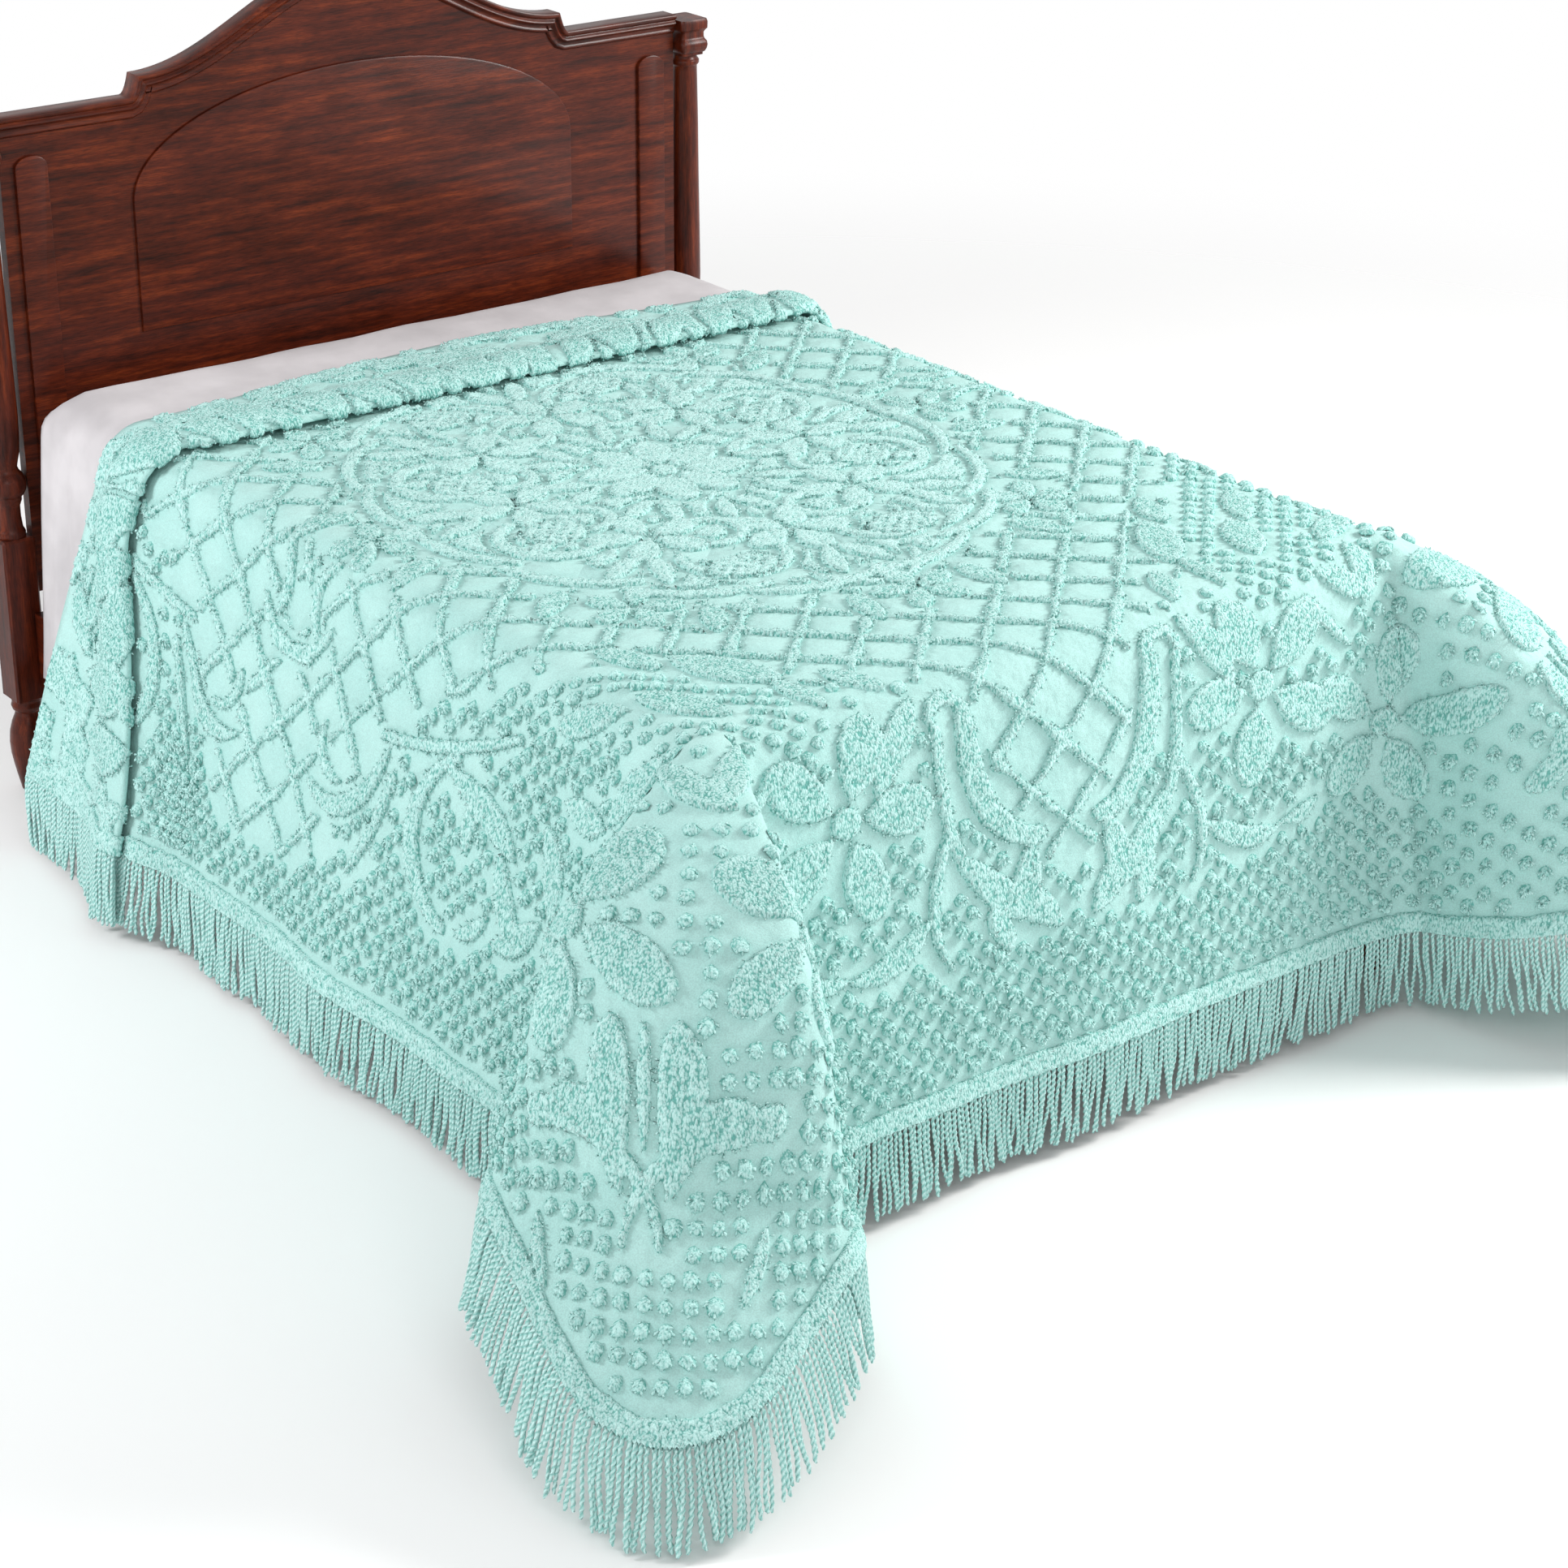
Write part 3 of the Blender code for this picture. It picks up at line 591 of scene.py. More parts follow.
def lattice_pillows(tree, flat):
    """How far the cloth swells between the lattice's lines, and in its own small ripples."""
    middle = vector_maths(tree, "SUBTRACT", flat, (PATTERN_MIDDLE, PATTERN_CENTRE, 0.0))
    swells = []
    for sign in (1.0, -1.0):
        way = (math.pi / LATTICE_STEP[0], sign * math.pi / LATTICE_STEP[1], 0.0)
        turn = vector_maths(tree, "DOT_PRODUCT", middle, way, result="Value")
        swells.append(maths(tree, "ABSOLUTE", maths(tree, "SINE", turn)))
    reach = vector_maths(tree, "LENGTH", middle, result="Value")
    near = moved_range(tree, reach, (0.80, 0.95), (1.0, 0.0))
    swell = maths(tree, "MULTIPLY", maths(tree, "MULTIPLY", *swells), near)
    return maths(tree, "MULTIPLY_ADD", noise(tree, flat, scale=30.0), 0.7, swell)


def ground_material():
    """Fine, slightly fuzzy cotton ground cloth, with its weave and faint shading."""
    mat, tree, shader, coords = new_look("chenille_ground", 0.9, specular=0.08, sheen=0.08)
    flat = node(tree, "ShaderNodeUVMap", uv_map="flat").outputs["UV"]
    fuzz = noise(tree, coords, scale=520.0, detail=3.0)
    tint = blend_colours(tree, noise(tree, coords, scale=7.0, detail=3.0),
                         ((0.30, GROUND_DARK), (0.70, GROUND_LIGHT)))
    paint(tree, shader, tint, blend_colours(tree, fuzz, ((0.36, 0.88), (0.62, 1.03))))
    threads = [stripes(tree, flat, 260.0, 1.2, 1.0, direction) for direction in "XY"]
    emboss(tree, shader, (maths(tree, "ADD", *threads), 0.0003, 0.4), (fuzz, 0.0012, 0.6),
           (lattice_pillows(tree, flat), PILLOW_RISE, 1.0))
    return mat


def fringe_material():
    """Two-ply twisted yarn: slanting plies that run round each strand, with painted shade in
    the grooves between them.
    """
    mat, tree, shader, coords = new_look("chenille_fringe", 0.9, specular=0.08, sheen=0.05)
    strand = node(tree, "ShaderNodeUVMap", uv_map="strand").outputs["UV"]
    around, climb, _ = node(tree, "ShaderNodeSeparateXYZ", {0: strand}).outputs
    turns = maths(tree, "MULTIPLY_ADD", climb, 1.0 / PLY_PITCH,
                  maths(tree, "MULTIPLY", around, 2.0))
    plies = maths(tree, "SINE", maths(tree, "MULTIPLY", turns, 2.0 * math.pi))
    share = moved_range(tree, plies, (-1.0, 1.0))
    # FRINGE_DARK in the grooves between plies is painted shade
    tint = blend_colours(tree, share, ((0.00, FRINGE_DARK), (0.30, PILE_MIDDLE),
                                       (0.90, PILE_LIGHT)))
    fuzz = noise(tree, coords, scale=700.0)
    paint(tree, shader, tint, blend_colours(tree, fuzz, ((0.30, 0.82), (0.65, 1.0))))
    emboss(tree, shader, (share, 0.0018, 0.8), (fuzz, 0.0008, 0.5))
    return mat


def cotton_material(name, light, dark):
    """Plain woven cotton with faint creases and a thread texture."""
    mat, tree, shader, coords = new_look(name, rough=0.85, specular=0.2, sheen=0.15)
    drift = noise(tree, coords, scale=9.0, detail=3.0)
    paint(tree, shader, blend_colours(tree, drift, ((0.32, dark), (0.65, light))))
    emboss(tree, shader, (noise(tree, coords, scale=1400.0, detail=1.0), 0.0004, 0.35),
           (noise(tree, coords, scale=22.0, detail=3.0), 0.006, 0.25))
    return mat


def ticking_material():
    """Woven mattress ticking with fine stripes that run along the bed."""
    mat, tree, shader, coords = new_look("ticking", rough=0.8, specular=0.2)
    tint = blend_colours(tree, stripes(tree, coords, 14.0, 0.05, 2.0, "X"),
                         ((0.80, TICKING), (0.90, TICKING_STRIPE)))
    thread = noise(tree, coords, scale=900.0, detail=1.0)
    paint(tree, shader, tint, blend_colours(tree, thread, ((0.30, 0.90), (0.70, 1.0))))
    emboss(tree, shader, (thread, 0.0005, 0.5))
    return mat


def wood_material(name, along):
    """Dark polished mahogany whose grain runs along one axis, worn lighter here and there."""
    mat, tree, shader, coords = new_look(name, rough=0.5, specular=0.18)
    shader.inputs["Coat Weight"].default_value = 0.10
    shader.inputs["Coat Roughness"].default_value = 0.20
    scale = [0.8 if axis == along else 9.0 for axis in "XYZ"]
    stretched = node(tree, "ShaderNodeMapping", {"Vector": coords, "Scale": scale}).outputs[0]
    grain = noise(tree, stretched, scale=7.0, detail=6.0, roughness=0.65)
    pores = noise(tree, stretched, scale=60.0, detail=3.0, roughness=0.6)
    wear = noise(tree, coords, scale=11.0, detail=4.0, roughness=0.6)
    tint = blend_colours(tree, grain, ((0.30, WOOD_DARK), (0.52, WOOD_MIDDLE),
                                       (0.72, WOOD_LIGHT)))
    paint(tree, shader, tint, blend_colours(tree, pores, ((0.38, 0.62), (0.55, 1.0))),
          blend_colours(tree, wear, ((0.35, 0.80), (0.70, 1.12))))
    tree.links.new(moved_range(tree, wear, (0.0, 1.0), (0.24, 0.48)),
                   shader.inputs["Roughness"])
    emboss(tree, shader, (pores, 0.0006, 0.35))
    return mat


# ---------------------------------------------------------------- the ground cloth
CLOTH_THICK = 0.0018
CLOTH_DROP = 0.0012            # the cloth's middle lies this far under the solid's


def lines_through(start, *spans):
    """Places from a start through spans of (end, how many places, both ends counted)."""
    row = [[start]]
    for end, count in spans:
        row.append(np.linspace(row[-1][-1], end, count)[1:])
    return np.concatenate(row)


def hanging_lines(half, edge, middle_count):
    """Columns of cloth from one hem to the other, closer over the bed's two edges."""
    return np.concatenate([-half - edge[::-1], np.linspace(-half, half, middle_count)[1:-1],
                           half + edge])


def build_ground(mat):
    """The plain cloth that carries the pile, laid over the bed and folded at the pleat."""
    edge = lines_through(0.0, (SPREAD_ROLL * math.pi / 2, 10), (SPREAD_FALL, 25))
    across = hanging_lines(HALF, edge, 47)
    rows = lines_through(MATTRESS_ROLL, (PLEAT_CREASE - 0.020, 52), (PLEAT_MARKS[0], 6),
                         (PLEAT_MARKS[1], 7), (PLEAT_MARKS[2], 4), (PLEAT_MARKS[3], 7),
                         (HEM_HEAD, 18))
    along = np.concatenate([MATTRESS_ROLL - edge[:0:-1], rows])
    flat_x, flat_y = trimmed(*(part.ravel() for part in np.meshgrid(across, along)))
    point, _, _, outward = frame_on(flat_x, flat_y, 0.001)
    obj = mesh_piece("spread_cloth", point - outward * CLOTH_DROP,
                     grid_faces(len(along), len(across)), mat)
    point_map(obj, "flat", np.stack([flat_x, flat_y], axis=1))
    solidify(obj, CLOTH_THICK)
    return obj


# ---------------------------------------------------------------- the tufted pattern, flat
# The pattern is drawn in the half that lies right of its middle line, and is mirrored.
# PATTERN_MIDDLE is where that line lies on the bed.

# One tufted stroke: where it starts, its first heading, its length, how far it turns, at
# its first and at its last rate, and its width at its start, middle and end. "belly" is
# the place along the stroke where it has its middle width. The tables of strokes are in
# millimetres.
Stroke = namedtuple("Stroke", "x y heading length turn_start turn_end start middle end belly",
                    defaults=(0.5,))
STROKE_LENGTHS = ("x", "y", "length", "start", "middle", "end")
FOOT_STROKES = (
    # the crescent and the ribbon over it, beside the middle of the foot
    (176, -20, -92, 270, 0, -165, 28, 44, 28, 0.45),
    (172, -20, 78, 85, -150, -150, 24, 22, 20),
    (228, -34, -92, 270, 10, -90, 20, 22, 24),
    (190, -245, -128, 135, -10, -20, 22, 54, 30, 0.55),
    (68, -230, -74, 115, -10, 20, 5, 52, 26, 0.60),
    (100, -322, -150, 95, 20, 30, 36, 52, 4, 0.40),
    (150, -335, -118, 65, 0, 30, 30, 40, 6),
    (222, -190, -66, 215, 0, -130, 15, 21, 8),
    (268, -308, -38, 165, 10, 110, 6, 40, 5, 0.45),
    # leaves above and between the corner flowers
    (252, 18, -50, 150, 0, -20, 6, 52, 5),
    (352, 0, -72, 75, 0, 20, 20, 42, 14),
    (498, -15, -48, 130, 0, 10, 6, 23, 6),
    (545, 20, -30, 100, -10, -20, 6, 44, 6),
    (500, -330, -150, 85, -30, -30, 5, 28, 5),
    # leaves on the top, inside the corner
    (275, 45, 62, 100, 10, 20, 6, 42, 6),
    (375, 45, 78, 110, 10, 20, 6, 34, 6),
    (370, 150, 55, 170, 10, 20, 8, 70, 6),
    (500, 100, 62, 140, 0, 10, 8, 62, 6),
    (485, 280, 80, 110, -20, -20, 6, 46, 6),
    (590, 215, 52, 125, 10, 20, 8, 50, 5),
    (620, 85, 32, 130, -10, -10, 8, 52, 5),
    (620, -50, 70, 110, 20, 20, 6, 44, 6),
    (745, 150, 85, 120, 10, 20, 6, 46, 5),
    # the stem between the wings of each corner
    (870, -185, -45, 125, 0, 0, 9, 20, 8),
)
# One side of the pair of wings down each corner, mirrored about the corner's diagonal.
WING_STROKES = (
    (838, -208, -52, 185, 0, 60, 4, 62, 6, 0.42),
    (905, -302, -155, 80, 30, 40, 22, 58, 16, 0.55),
    (828, -372, 42, 250, -20, -150, 40, 30, 12, 0.35),
    (905, -450, -40, 90, 20, 40, 5, 26, 5),
)
# Scrolls up the hanging side, mirrored again above the middle of the bed.
SIDE_STROKES = (
    (1020, 495, 100, 330, 140, 150, 20, 30, 16),
    (700, 400, 64, 330, 10, 30, 18, 21, 18),
    (850, 672, 8, 180, 20, 30, 18, 20, 12),
    (795, 545, -78, 200, 0, 50, 14, 50, 12, 0.55),
    (820, 695, 15, 260, 60, 150, 10, 36, 14),
    (905, 805, 75, 120, 120, 120, 10, 20, 10),
    (900, 470, 160, 110, 50, 90, 6, 36, 6),
    (865, 390, -20, 150, -20, -60, 6, 44, 6),
    (790, 300, -40, 140, 20, 50, 6, 50, 6),
    (925, 270, 40, 120, 20, 50, 6, 46, 6),
    (850, 180, 20, 130, 20, 30, 6, 50, 6),
    (960, 390, 30, 90, 40, 60, 6, 28, 6),
    (700, 905, 20, 170, 130, 20, 10, 26, 18),
    (605, 930, 50, 130, -90, -90, 12, 22, 10),
)
# A flower: its middle, the length and number of its petals, where the first one points,
# and a petal's width as a share of its length.
Flower = namedtuple("Flower", "x y reach petals turn width")
CORNER_FLOWERS = (
    Flower(0.395, -0.125, 0.150, 5, 38, 0.52),
    Flower(0.645, -0.245, 0.140, 5, 71, 0.50),
    Flower(0.868, -0.022, 0.150, 5, 36, 0.52),
)
# Motifs of the medallion, drawn about their own middle with +x away from the medallion's.
MOTIFS = {
    "loop": ((-34, -47, -12, 190, 200, 200, 13, 17, 13),
             (-22, 0, 0, 48, 0, 0, 5, 22, 5)),
    "drop": ((-34, 0, 0, 74, 0, 0, 5, 32, 6, 0.45),),
    "leaves": ((-34, 4, 36, 80, -30, -20, 5, 28, 5),
               (-34, -4, -36, 80, 30, 20, 5, 28, 5)),
    "scallop": ((-22, -76, 58, 175, 64, 64, 12, 18, 12),),
    "curl": ((0, 30, 200, 150, 330, 180, 12, 16, 9),),
    "petals": ((8, 0, 0, 48, 10, -10, 6, 32, 10, 0.6),
               (2, 8, 72, 48, 10, -10, 6, 32, 10, 0.6),
               (-6, 5, 144, 48, 10, -10, 6, 32, 10, 0.6),
               (-6, -5, 216, 48, 10, -10, 6, 32, 10, 0.6),
               (2, -8, 288, 48, 10, -10, 6, 32, 10, 0.6)),
}
# Rings of motifs: how many, where the first stands, how far out as a share of the
# medallion's reach, which motif, its size, and how it is turned.
Ring = namedtuple("Ring", "count first share motif size turn")
MEDALLION_RINGS = (
    Ring(8, 0.0, 0.34, "leaves", 1.15, 0.0),
    Ring(8, 22.5, 0.46, "curl", 1.45, 0.0),
    Ring(8, 0.0, 0.56, "petals", 1.60, 0.0),
    Ring(8, 22.5, 0.74, "loop", 1.50, 0.0),
    Ring(8, 0.0, 0.80, "leaves", 1.30, 0.0),
    Ring(16, 11.25, 0.955, "scallop", 1.30, 0.0),
    Ring(8, 0.0, 1.080, "petals", 1.25, 36.0),
    Ring(16, 11.25, 1.120, "drop", 1.30, 0.0),
)
MEDALLION_FLOWER = Flower(0.000, 0.930, 0.125, 8, 22.5, 0.50)
MEDALLION_STROKES = (
    (0, 330, 90, 80, 0, 0, 4, 40, 6, 0.45),
    (28, 350, 25, 110, 50, 60, 10, 22, 6),
)
# Patches of close lattice in the medallion, each with its mirror image: middle and reach.
Patch = namedtuple("Patch", "x y across along")
PATCHES = (Patch(0.155, 0.520, 0.060, 0.040), Patch(0.300, 0.800, 0.050, 0.046),
           Patch(0.300, 1.060, 0.050, 0.046), Patch(0.155, 1.350, 0.060, 0.040))
PATCH_STEP = 0.026
PATCH_LINE = 0.0050            # half the width of a patch's lines
PATCH_SLOPE = 0.68             # how steeply they fall off, so that they nearly close up
# Leaves and curls on the part that is folded up at the head.
HEAD_STROKES = (
    (0, 1572, 90, 160, 0, 0, 26, 74, 12),
    (60, 1574, 62, 130, 30, 60, 20, 56, 10),
    (135, 1572, 112, 140, -70, -90, 24, 44, 12),
    (180, 1574, 40, 120, 50, 70, 22, 54, 10),
    (290, 1572, 82, 170, -20, -30, 26, 80, 12),
    (370, 1574, 45, 120, 20, 40, 20, 56, 10),
    (450, 1572, 105, 140, -60, -80, 22, 46, 12),
    (490, 1574, 55, 140, 20, 30, 22, 66, 10),
    (590, 1572, 84, 180, -20, -20, 26, 86, 12),
    (680, 1572, 58, 180, 10, 20, 24, 86, 12),
    (770, 1574, 76, 190, -20, -20, 24, 90, 10),
    (860, 1574, 52, 160, 10, 20, 20, 80, 10),
    (950, 1578, 66, 180, 20, 30, 20, 88, 8),
    (1050, 1584, 72, 160, 10, 20, 18, 78, 8),
)

# How far the lattice reaches from the pattern's centre: (angle below the side, reach).
LATTICE_REACH = ((0, 1.080), (6, 1.075), (12, 1.020), (18, 0.900), (27, 0.800),
                 (37, 0.830), (46, 0.850), (54, 0.860), (62, 0.905), (69, 0.960),
                 (76, 0.975), (81, 1.030), (83, 1.190), (86, 1.260), (90, 1.300))
MEDALLION_REACH = (0.500, 0.585)
MEDALLION_MIDDLE = 0.930
LATTICE_WIDTH = 0.0148
HEM_BAND = 0.034

BARE = -0.024                  # the depth in the pattern of cloth far from every stroke
STROKE_STEP = 0.009            # from one point of a stroke to the next

# Noise: how many grid steps its features span, and its height, which is in metres for
# the pattern and a share of the pile's height for the pile.
Noise = namedtuple("Noise", "cell height")
LINE_WANDER = Noise(7.0, 0.0045)
EDGE_ROUGH = Noise(2.2, 0.0012)

# The tufting between the motifs of the medallion, and of the part folded up at the head:
# its gap to the motifs and to the oval, its ragged edge, and its scattered holes.
FILL_GAP = 0.0140
FILL_MARGIN = 0.022
FILL_RAGGED = Noise(14.0, 0.040)
FILL_HOLES = Noise(16.0, 0.012)
FILL_SHARE = 0.45
FOLD_GAP = 0.0080
FOLD_HOLES = Noise(9.0, 0.012)
FOLD_SHARE = 0.20
CLEAR_OF_MOTIFS = 0.012

# The pile: its grid and height, how unevenly it stands, and how light it is. "Lump" is
# the random share of one point, and "rise" runs from 0 at the edge to 1 inside.
PILE_STEP = 0.0041
PILE_HEIGHT = 0.0066
PILE_EDGE = 0.35               # how high the pile is at its very edge, as a share
PILE_SHOULDER = 0.0042         # the pile is at its full height this far in from its edge
PILE_LUMPS = 0.26
PILE_TUFTS = Noise(5.0, 0.12)
PILE_JITTER = (-0.0006, 0.0006)
EDGE_SETBACK = 0.0010
SKIRT_DROP = 0.0024            # the relief's outermost points lie this far under the cloth
# The pile's tone is painted light and shade: darker at its skirt and where it is low, lighter
# where a point stands high.
PILE_TONE = SimpleNamespace(skirt=0.36, edge=0.46, lump=0.16, rise=0.08)
MEDALLION_TONE = 0.07
BAND_TONE = 0.06
# Deep inside a wide motif the pile is darkened with painted shade, fully this far in.
DEEP_REACH = (0.001, 0.014)    # this far in, the pile of a wide motif is at its darkest
DEEP_TONE = 0.13

# The loose ends of yarn on the pile: what share of its points carry one, how they lean,
# and the least and the most of their measures.
EDGE_ENDS = 0.48
INNER_ENDS = 0.04
BAND_ENDS = 0.34
EDGE_REACH = 0.0036
LEAN_REACH = 0.005             # ends lean out less and less up to this far in
END_LEAN = 0.75
END_SCATTER = 0.30
END_DROOP = 0.35
END_LENGTH = (0.0060, 0.0088)
END_WIDTH = (0.0034, 0.0046)
END_SHADE = (-0.12, 0.15)

# The dots of the border: a dot's loose ends of yarn, in rings, by how far out and how
# high they are rooted, their lean and their length; and its body, in rings too.
DOT_STEP = 0.021
DOT_JITTER = (-0.0013, 0.0013)
BAND_GAP = 0.014
DotRing = namedtuple("DotRing", "ends rooted height lean length")
DOT_RINGS = (DotRing(3, 0.0012, 0.0080, 60.0, 0.0100), DotRing(7, 0.0046, 0.0066, 84.0, 0.0114))
DOT_DROOP = 1.00
DOT_GRID = (np.arange(-62, 63), np.arange(-30, 90))
DOT_CLEAR = 0.012              # how far a dot keeps from the pattern
DOT_SIZE = (0.88, 1.12)
DOT_WIDTH = (0.0044, 0.0058)
DOT_SHADE = (-0.14, 0.10)
DOT_SPREAD = SimpleNamespace(angle=(-0.5, 0.5), rooted=(0.6, 1.4), height=(0.85, 1.15),
                             lean=(-14, 14), length=(0.75, 1.25))
# A knob's tone falls from its summit to its rim: painted shade where it meets the cloth.
KnobRing = namedtuple("KnobRing", "radius height tone")
KNOB_RINGS = (KnobRing(0.0046, 0.0078, 0.50), KnobRing(0.0088, 0.0058, 0.42),
              KnobRing(0.0112, -0.0004, 0.24))
KNOB_SIDES = 8
KNOB_SAG = 0.65
KNOB_SPREAD = SimpleNamespace(radius=(0.74, 1.22), height=(0.80, 1.20), tone=(-0.08, 0.08))


def in_metres(row):
    """A stroke from a row of a table, whose lengths are in millimetres."""
    stroke = Stroke(*row)
    return stroke._replace(**{key: getattr(stroke, key) / 1000 for key in STROKE_LENGTHS})


def stroke_line(stroke):
    """The centre line of a stroke, and its half width at each point."""
    count = max(7, int(stroke.length / STROKE_STEP) + 1)
    t = np.linspace(0.0, 1.0, count)
    turned = stroke.turn_start * t + (stroke.turn_end - stroke.turn_start) * t * t / 2
    heading = np.radians(stroke.heading + turned)
    run = np.stack([np.cos(heading), np.sin(heading)], axis=1)
    travelled = np.concatenate([np.zeros((1, 2)), np.cumsum((run[1:] + run[:-1]) / 2, axis=0)])
    line = np.array([stroke.x, stroke.y]) + travelled * (stroke.length / (count - 1))
    t = t ** (math.log(0.5) / math.log(stroke.belly))
    inner = 2.0 * stroke.middle - 0.5 * (stroke.start + stroke.end)
    width = stroke.start * (1 - t) ** 2 + 2 * inner * t * (1 - t) + stroke.end * t * t
    return line, width / 2


def flower_strokes(flower):
    """The petals of a flower and its round middle."""
    heart = 0.17 * flower.reach
    start = heart + 0.010
    rows = []
    for k in range(flower.petals):
        turn = flower.turn + 360.0 / flower.petals * k
        cosine, sine = cos_sin(turn)
        length = (flower.reach - start) * (1.0 + 0.07 * math.sin(2.3 * k + turn))
        rows.append(Stroke(flower.x + start * cosine, flower.y + start * sine, turn, length,
                           14, -10, 0.012, flower.width * flower.reach, 0.020, 0.58))
    rows.append(Stroke(flower.x - 0.003, flower.y, 0, 0.006, 0, 0, 1.9 * heart, 1.9 * heart,
                       1.9 * heart, 0.5))
    return rows


def placed_motif(name, x, y, turn, size):
    """A motif's strokes at a place on the spread, turned and scaled."""
    cosine, sine = cos_sin(turn)
    rows = []
    for stroke in map(in_metres, MOTIFS[name]):
        stroke = stroke._replace(**{key: getattr(stroke, key) * size
                                    for key in STROKE_LENGTHS})
        rows.append(stroke._replace(x=x + stroke.x * cosine - stroke.y * sine,
                                    y=y + stroke.x * sine + stroke.y * cosine,
                                    heading=stroke.heading + turn))
    return rows


def medallion_strokes():
    """The medallion's rings of motifs, in its right half."""
    rows = [*map(in_metres, MEDALLION_STROKES), *flower_strokes(MEDALLION_FLOWER)]
    for ring in MEDALLION_RINGS:
        for k in range(ring.count):
            cosine, sine = cos_sin(ring.first + 360.0 / ring.count * k)
            x = ring.share * MEDALLION_REACH[0] * cosine
            y = ring.share * MEDALLION_REACH[1] * sine
            if x > -0.001:
                outward = math.degrees(math.atan2(y, x))
                rows += placed_motif(ring.motif, x, MEDALLION_MIDDLE + y,
                                     outward + ring.turn, ring.size)
    return rows


def pattern_strokes():
    """Every stroke of the pattern on the flat spread."""
    half = [*map(in_metres, FOOT_STROKES + WING_STROKES + HEAD_STROKES),
            *medallion_strokes()]
    for flower in CORNER_FLOWERS:
        half += flower_strokes(flower)
    lines = [stroke_line(stroke) for stroke in half]
    corner = HALF + MATTRESS_ROLL
    for line, width in map(stroke_line, map(in_metres, WING_STROKES)):
        lines.append((corner - line[:, ::-1], width))
    for line, width in map(stroke_line, map(in_metres, SIDE_STROKES)):
        lines.append((line, width))
        lines.append((np.array([0.0, 2 * PATTERN_CENTRE]) + line * (1, -1), width))
    return [(np.array([PATTERN_MIDDLE, 0.0]) + line * (sign, 1.0), width)
            for line, width in lines for sign in (1.0, -1.0)]


def hem_depth(across, along):
    """Distance in from the hem, which has rounded corners at the foot."""
    side = SPREAD_FALL - (np.abs(across) - HALF)
    foot = SPREAD_FALL - (MATTRESS_ROLL - along)
    short_side, short_foot = SPREAD_CORNER - side, SPREAD_CORNER - foot
    rounded = SPREAD_CORNER - np.hypot(np.maximum(short_side, 0), np.maximum(short_foot, 0))
    return np.where((short_side > 0) & (short_foot > 0), rounded, np.minimum(side, foot))


def in_medallion(across, along):
    """How far a flat point lies inside the medallion's oval."""
    x = (across - PATTERN_MIDDLE) / MEDALLION_REACH[0]
    y = (along - MEDALLION_MIDDLE) / MEDALLION_REACH[1]
    return (1.0 - np.hypot(x, y)) * min(MEDALLION_REACH)


def in_lattice(across, along):
    """How far a flat point lies inside the lattice's field."""
    x = np.abs(across - PATTERN_MIDDLE)
    y = np.abs(along - PATTERN_CENTRE)
    edge = np.interp(np.degrees(np.arctan2(y, x)), *np.transpose(LATTICE_REACH))
    below_fold = PLEAT_UNDER - along
    return np.minimum(np.minimum(edge - np.hypot(x, y), below_fold),
                      -in_medallion(across, along))


def value_noise(shape, cell, rng):
    """Smooth noise from -1 to 1 on a grid, with features of about cell grid steps."""
    coarse = rng.uniform(-1.0, 1.0, (int(shape[0] / cell) + 3, int(shape[1] / cell) + 3))
    row, column = np.arange(shape[0]) / cell, np.arange(shape[1]) / cell
    i, j = row.astype(int), column.astype(int)
    a, b = smooth(row - i)[:, None], smooth(column - j)[None, :]
    top = coarse[i][:, j] * (1 - b) + coarse[i][:, j + 1] * b
    low = coarse[i + 1][:, j] * (1 - b) + coarse[i + 1][:, j + 1] * b
    return top * (1 - a) + low * a


def stamp(field, across, along, line, width):
    """Raise the field to how deep each point is inside one stroke."""
    low = line.min(axis=0) - width.max() + BARE
    high = line.max(axis=0) + width.max() - BARE
    columns = slice(*np.searchsorted(across, (low[0], high[0])))
    rows = slice(*np.searchsorted(along, (low[1], high[1])))
    x, y = np.meshgrid(across[columns], along[rows])
    for k in range(len(line) - 1):
        run = line[k + 1] - line[k]
        t = ((x - line[k, 0]) * run[0] + (y - line[k, 1]) * run[1]) / max(run @ run, 1e-12)
        t = np.clip(t, 0.0, 1.0)
        off = np.hypot(x - line[k, 0] - t * run[0], y - line[k, 1] - t * run[1])
        depth = width[k] * (1 - t) + width[k + 1] * t - off
        field[rows, columns] = np.maximum(field[rows, columns], depth)


def to_nearest(turns, step):
    """Distance to the nearest whole turn, where each turn is one step long."""
    return np.abs(turns - np.round(turns)) * step


def with_patches(motifs, x, y):
    """Lay the patches of close lattice over the medallion's motifs."""
    for patch in PATCHES:
        spot_x = np.abs(x - PATTERN_MIDDLE) - patch.x
        spot_y = y - patch.y
        share = np.hypot(spot_x / patch.across, spot_y / patch.along)
        close = [to_nearest(turns / PATCH_STEP, PATCH_STEP * math.sqrt(0.5))
                 for turns in (spot_x + spot_y, spot_x - spot_y)]
        mesh = PATCH_LINE - PATCH_SLOPE * np.minimum(*close)
        inner = (1.0 - share) * patch.along
        motifs = np.where(share < 1.1, np.minimum(mesh, inner), motifs)
    return motifs


def filled_in(motifs, gap, edge, holes, share, rng):
    """Tuft a share of the cloth between the motifs too, past a gap and inside an edge."""
    filled = np.minimum(-motifs - gap, edge)
    scattered = holes.height * (value_noise(motifs.shape, holes.cell, rng) + share)
    return np.maximum(motifs, np.minimum(filled, scattered))


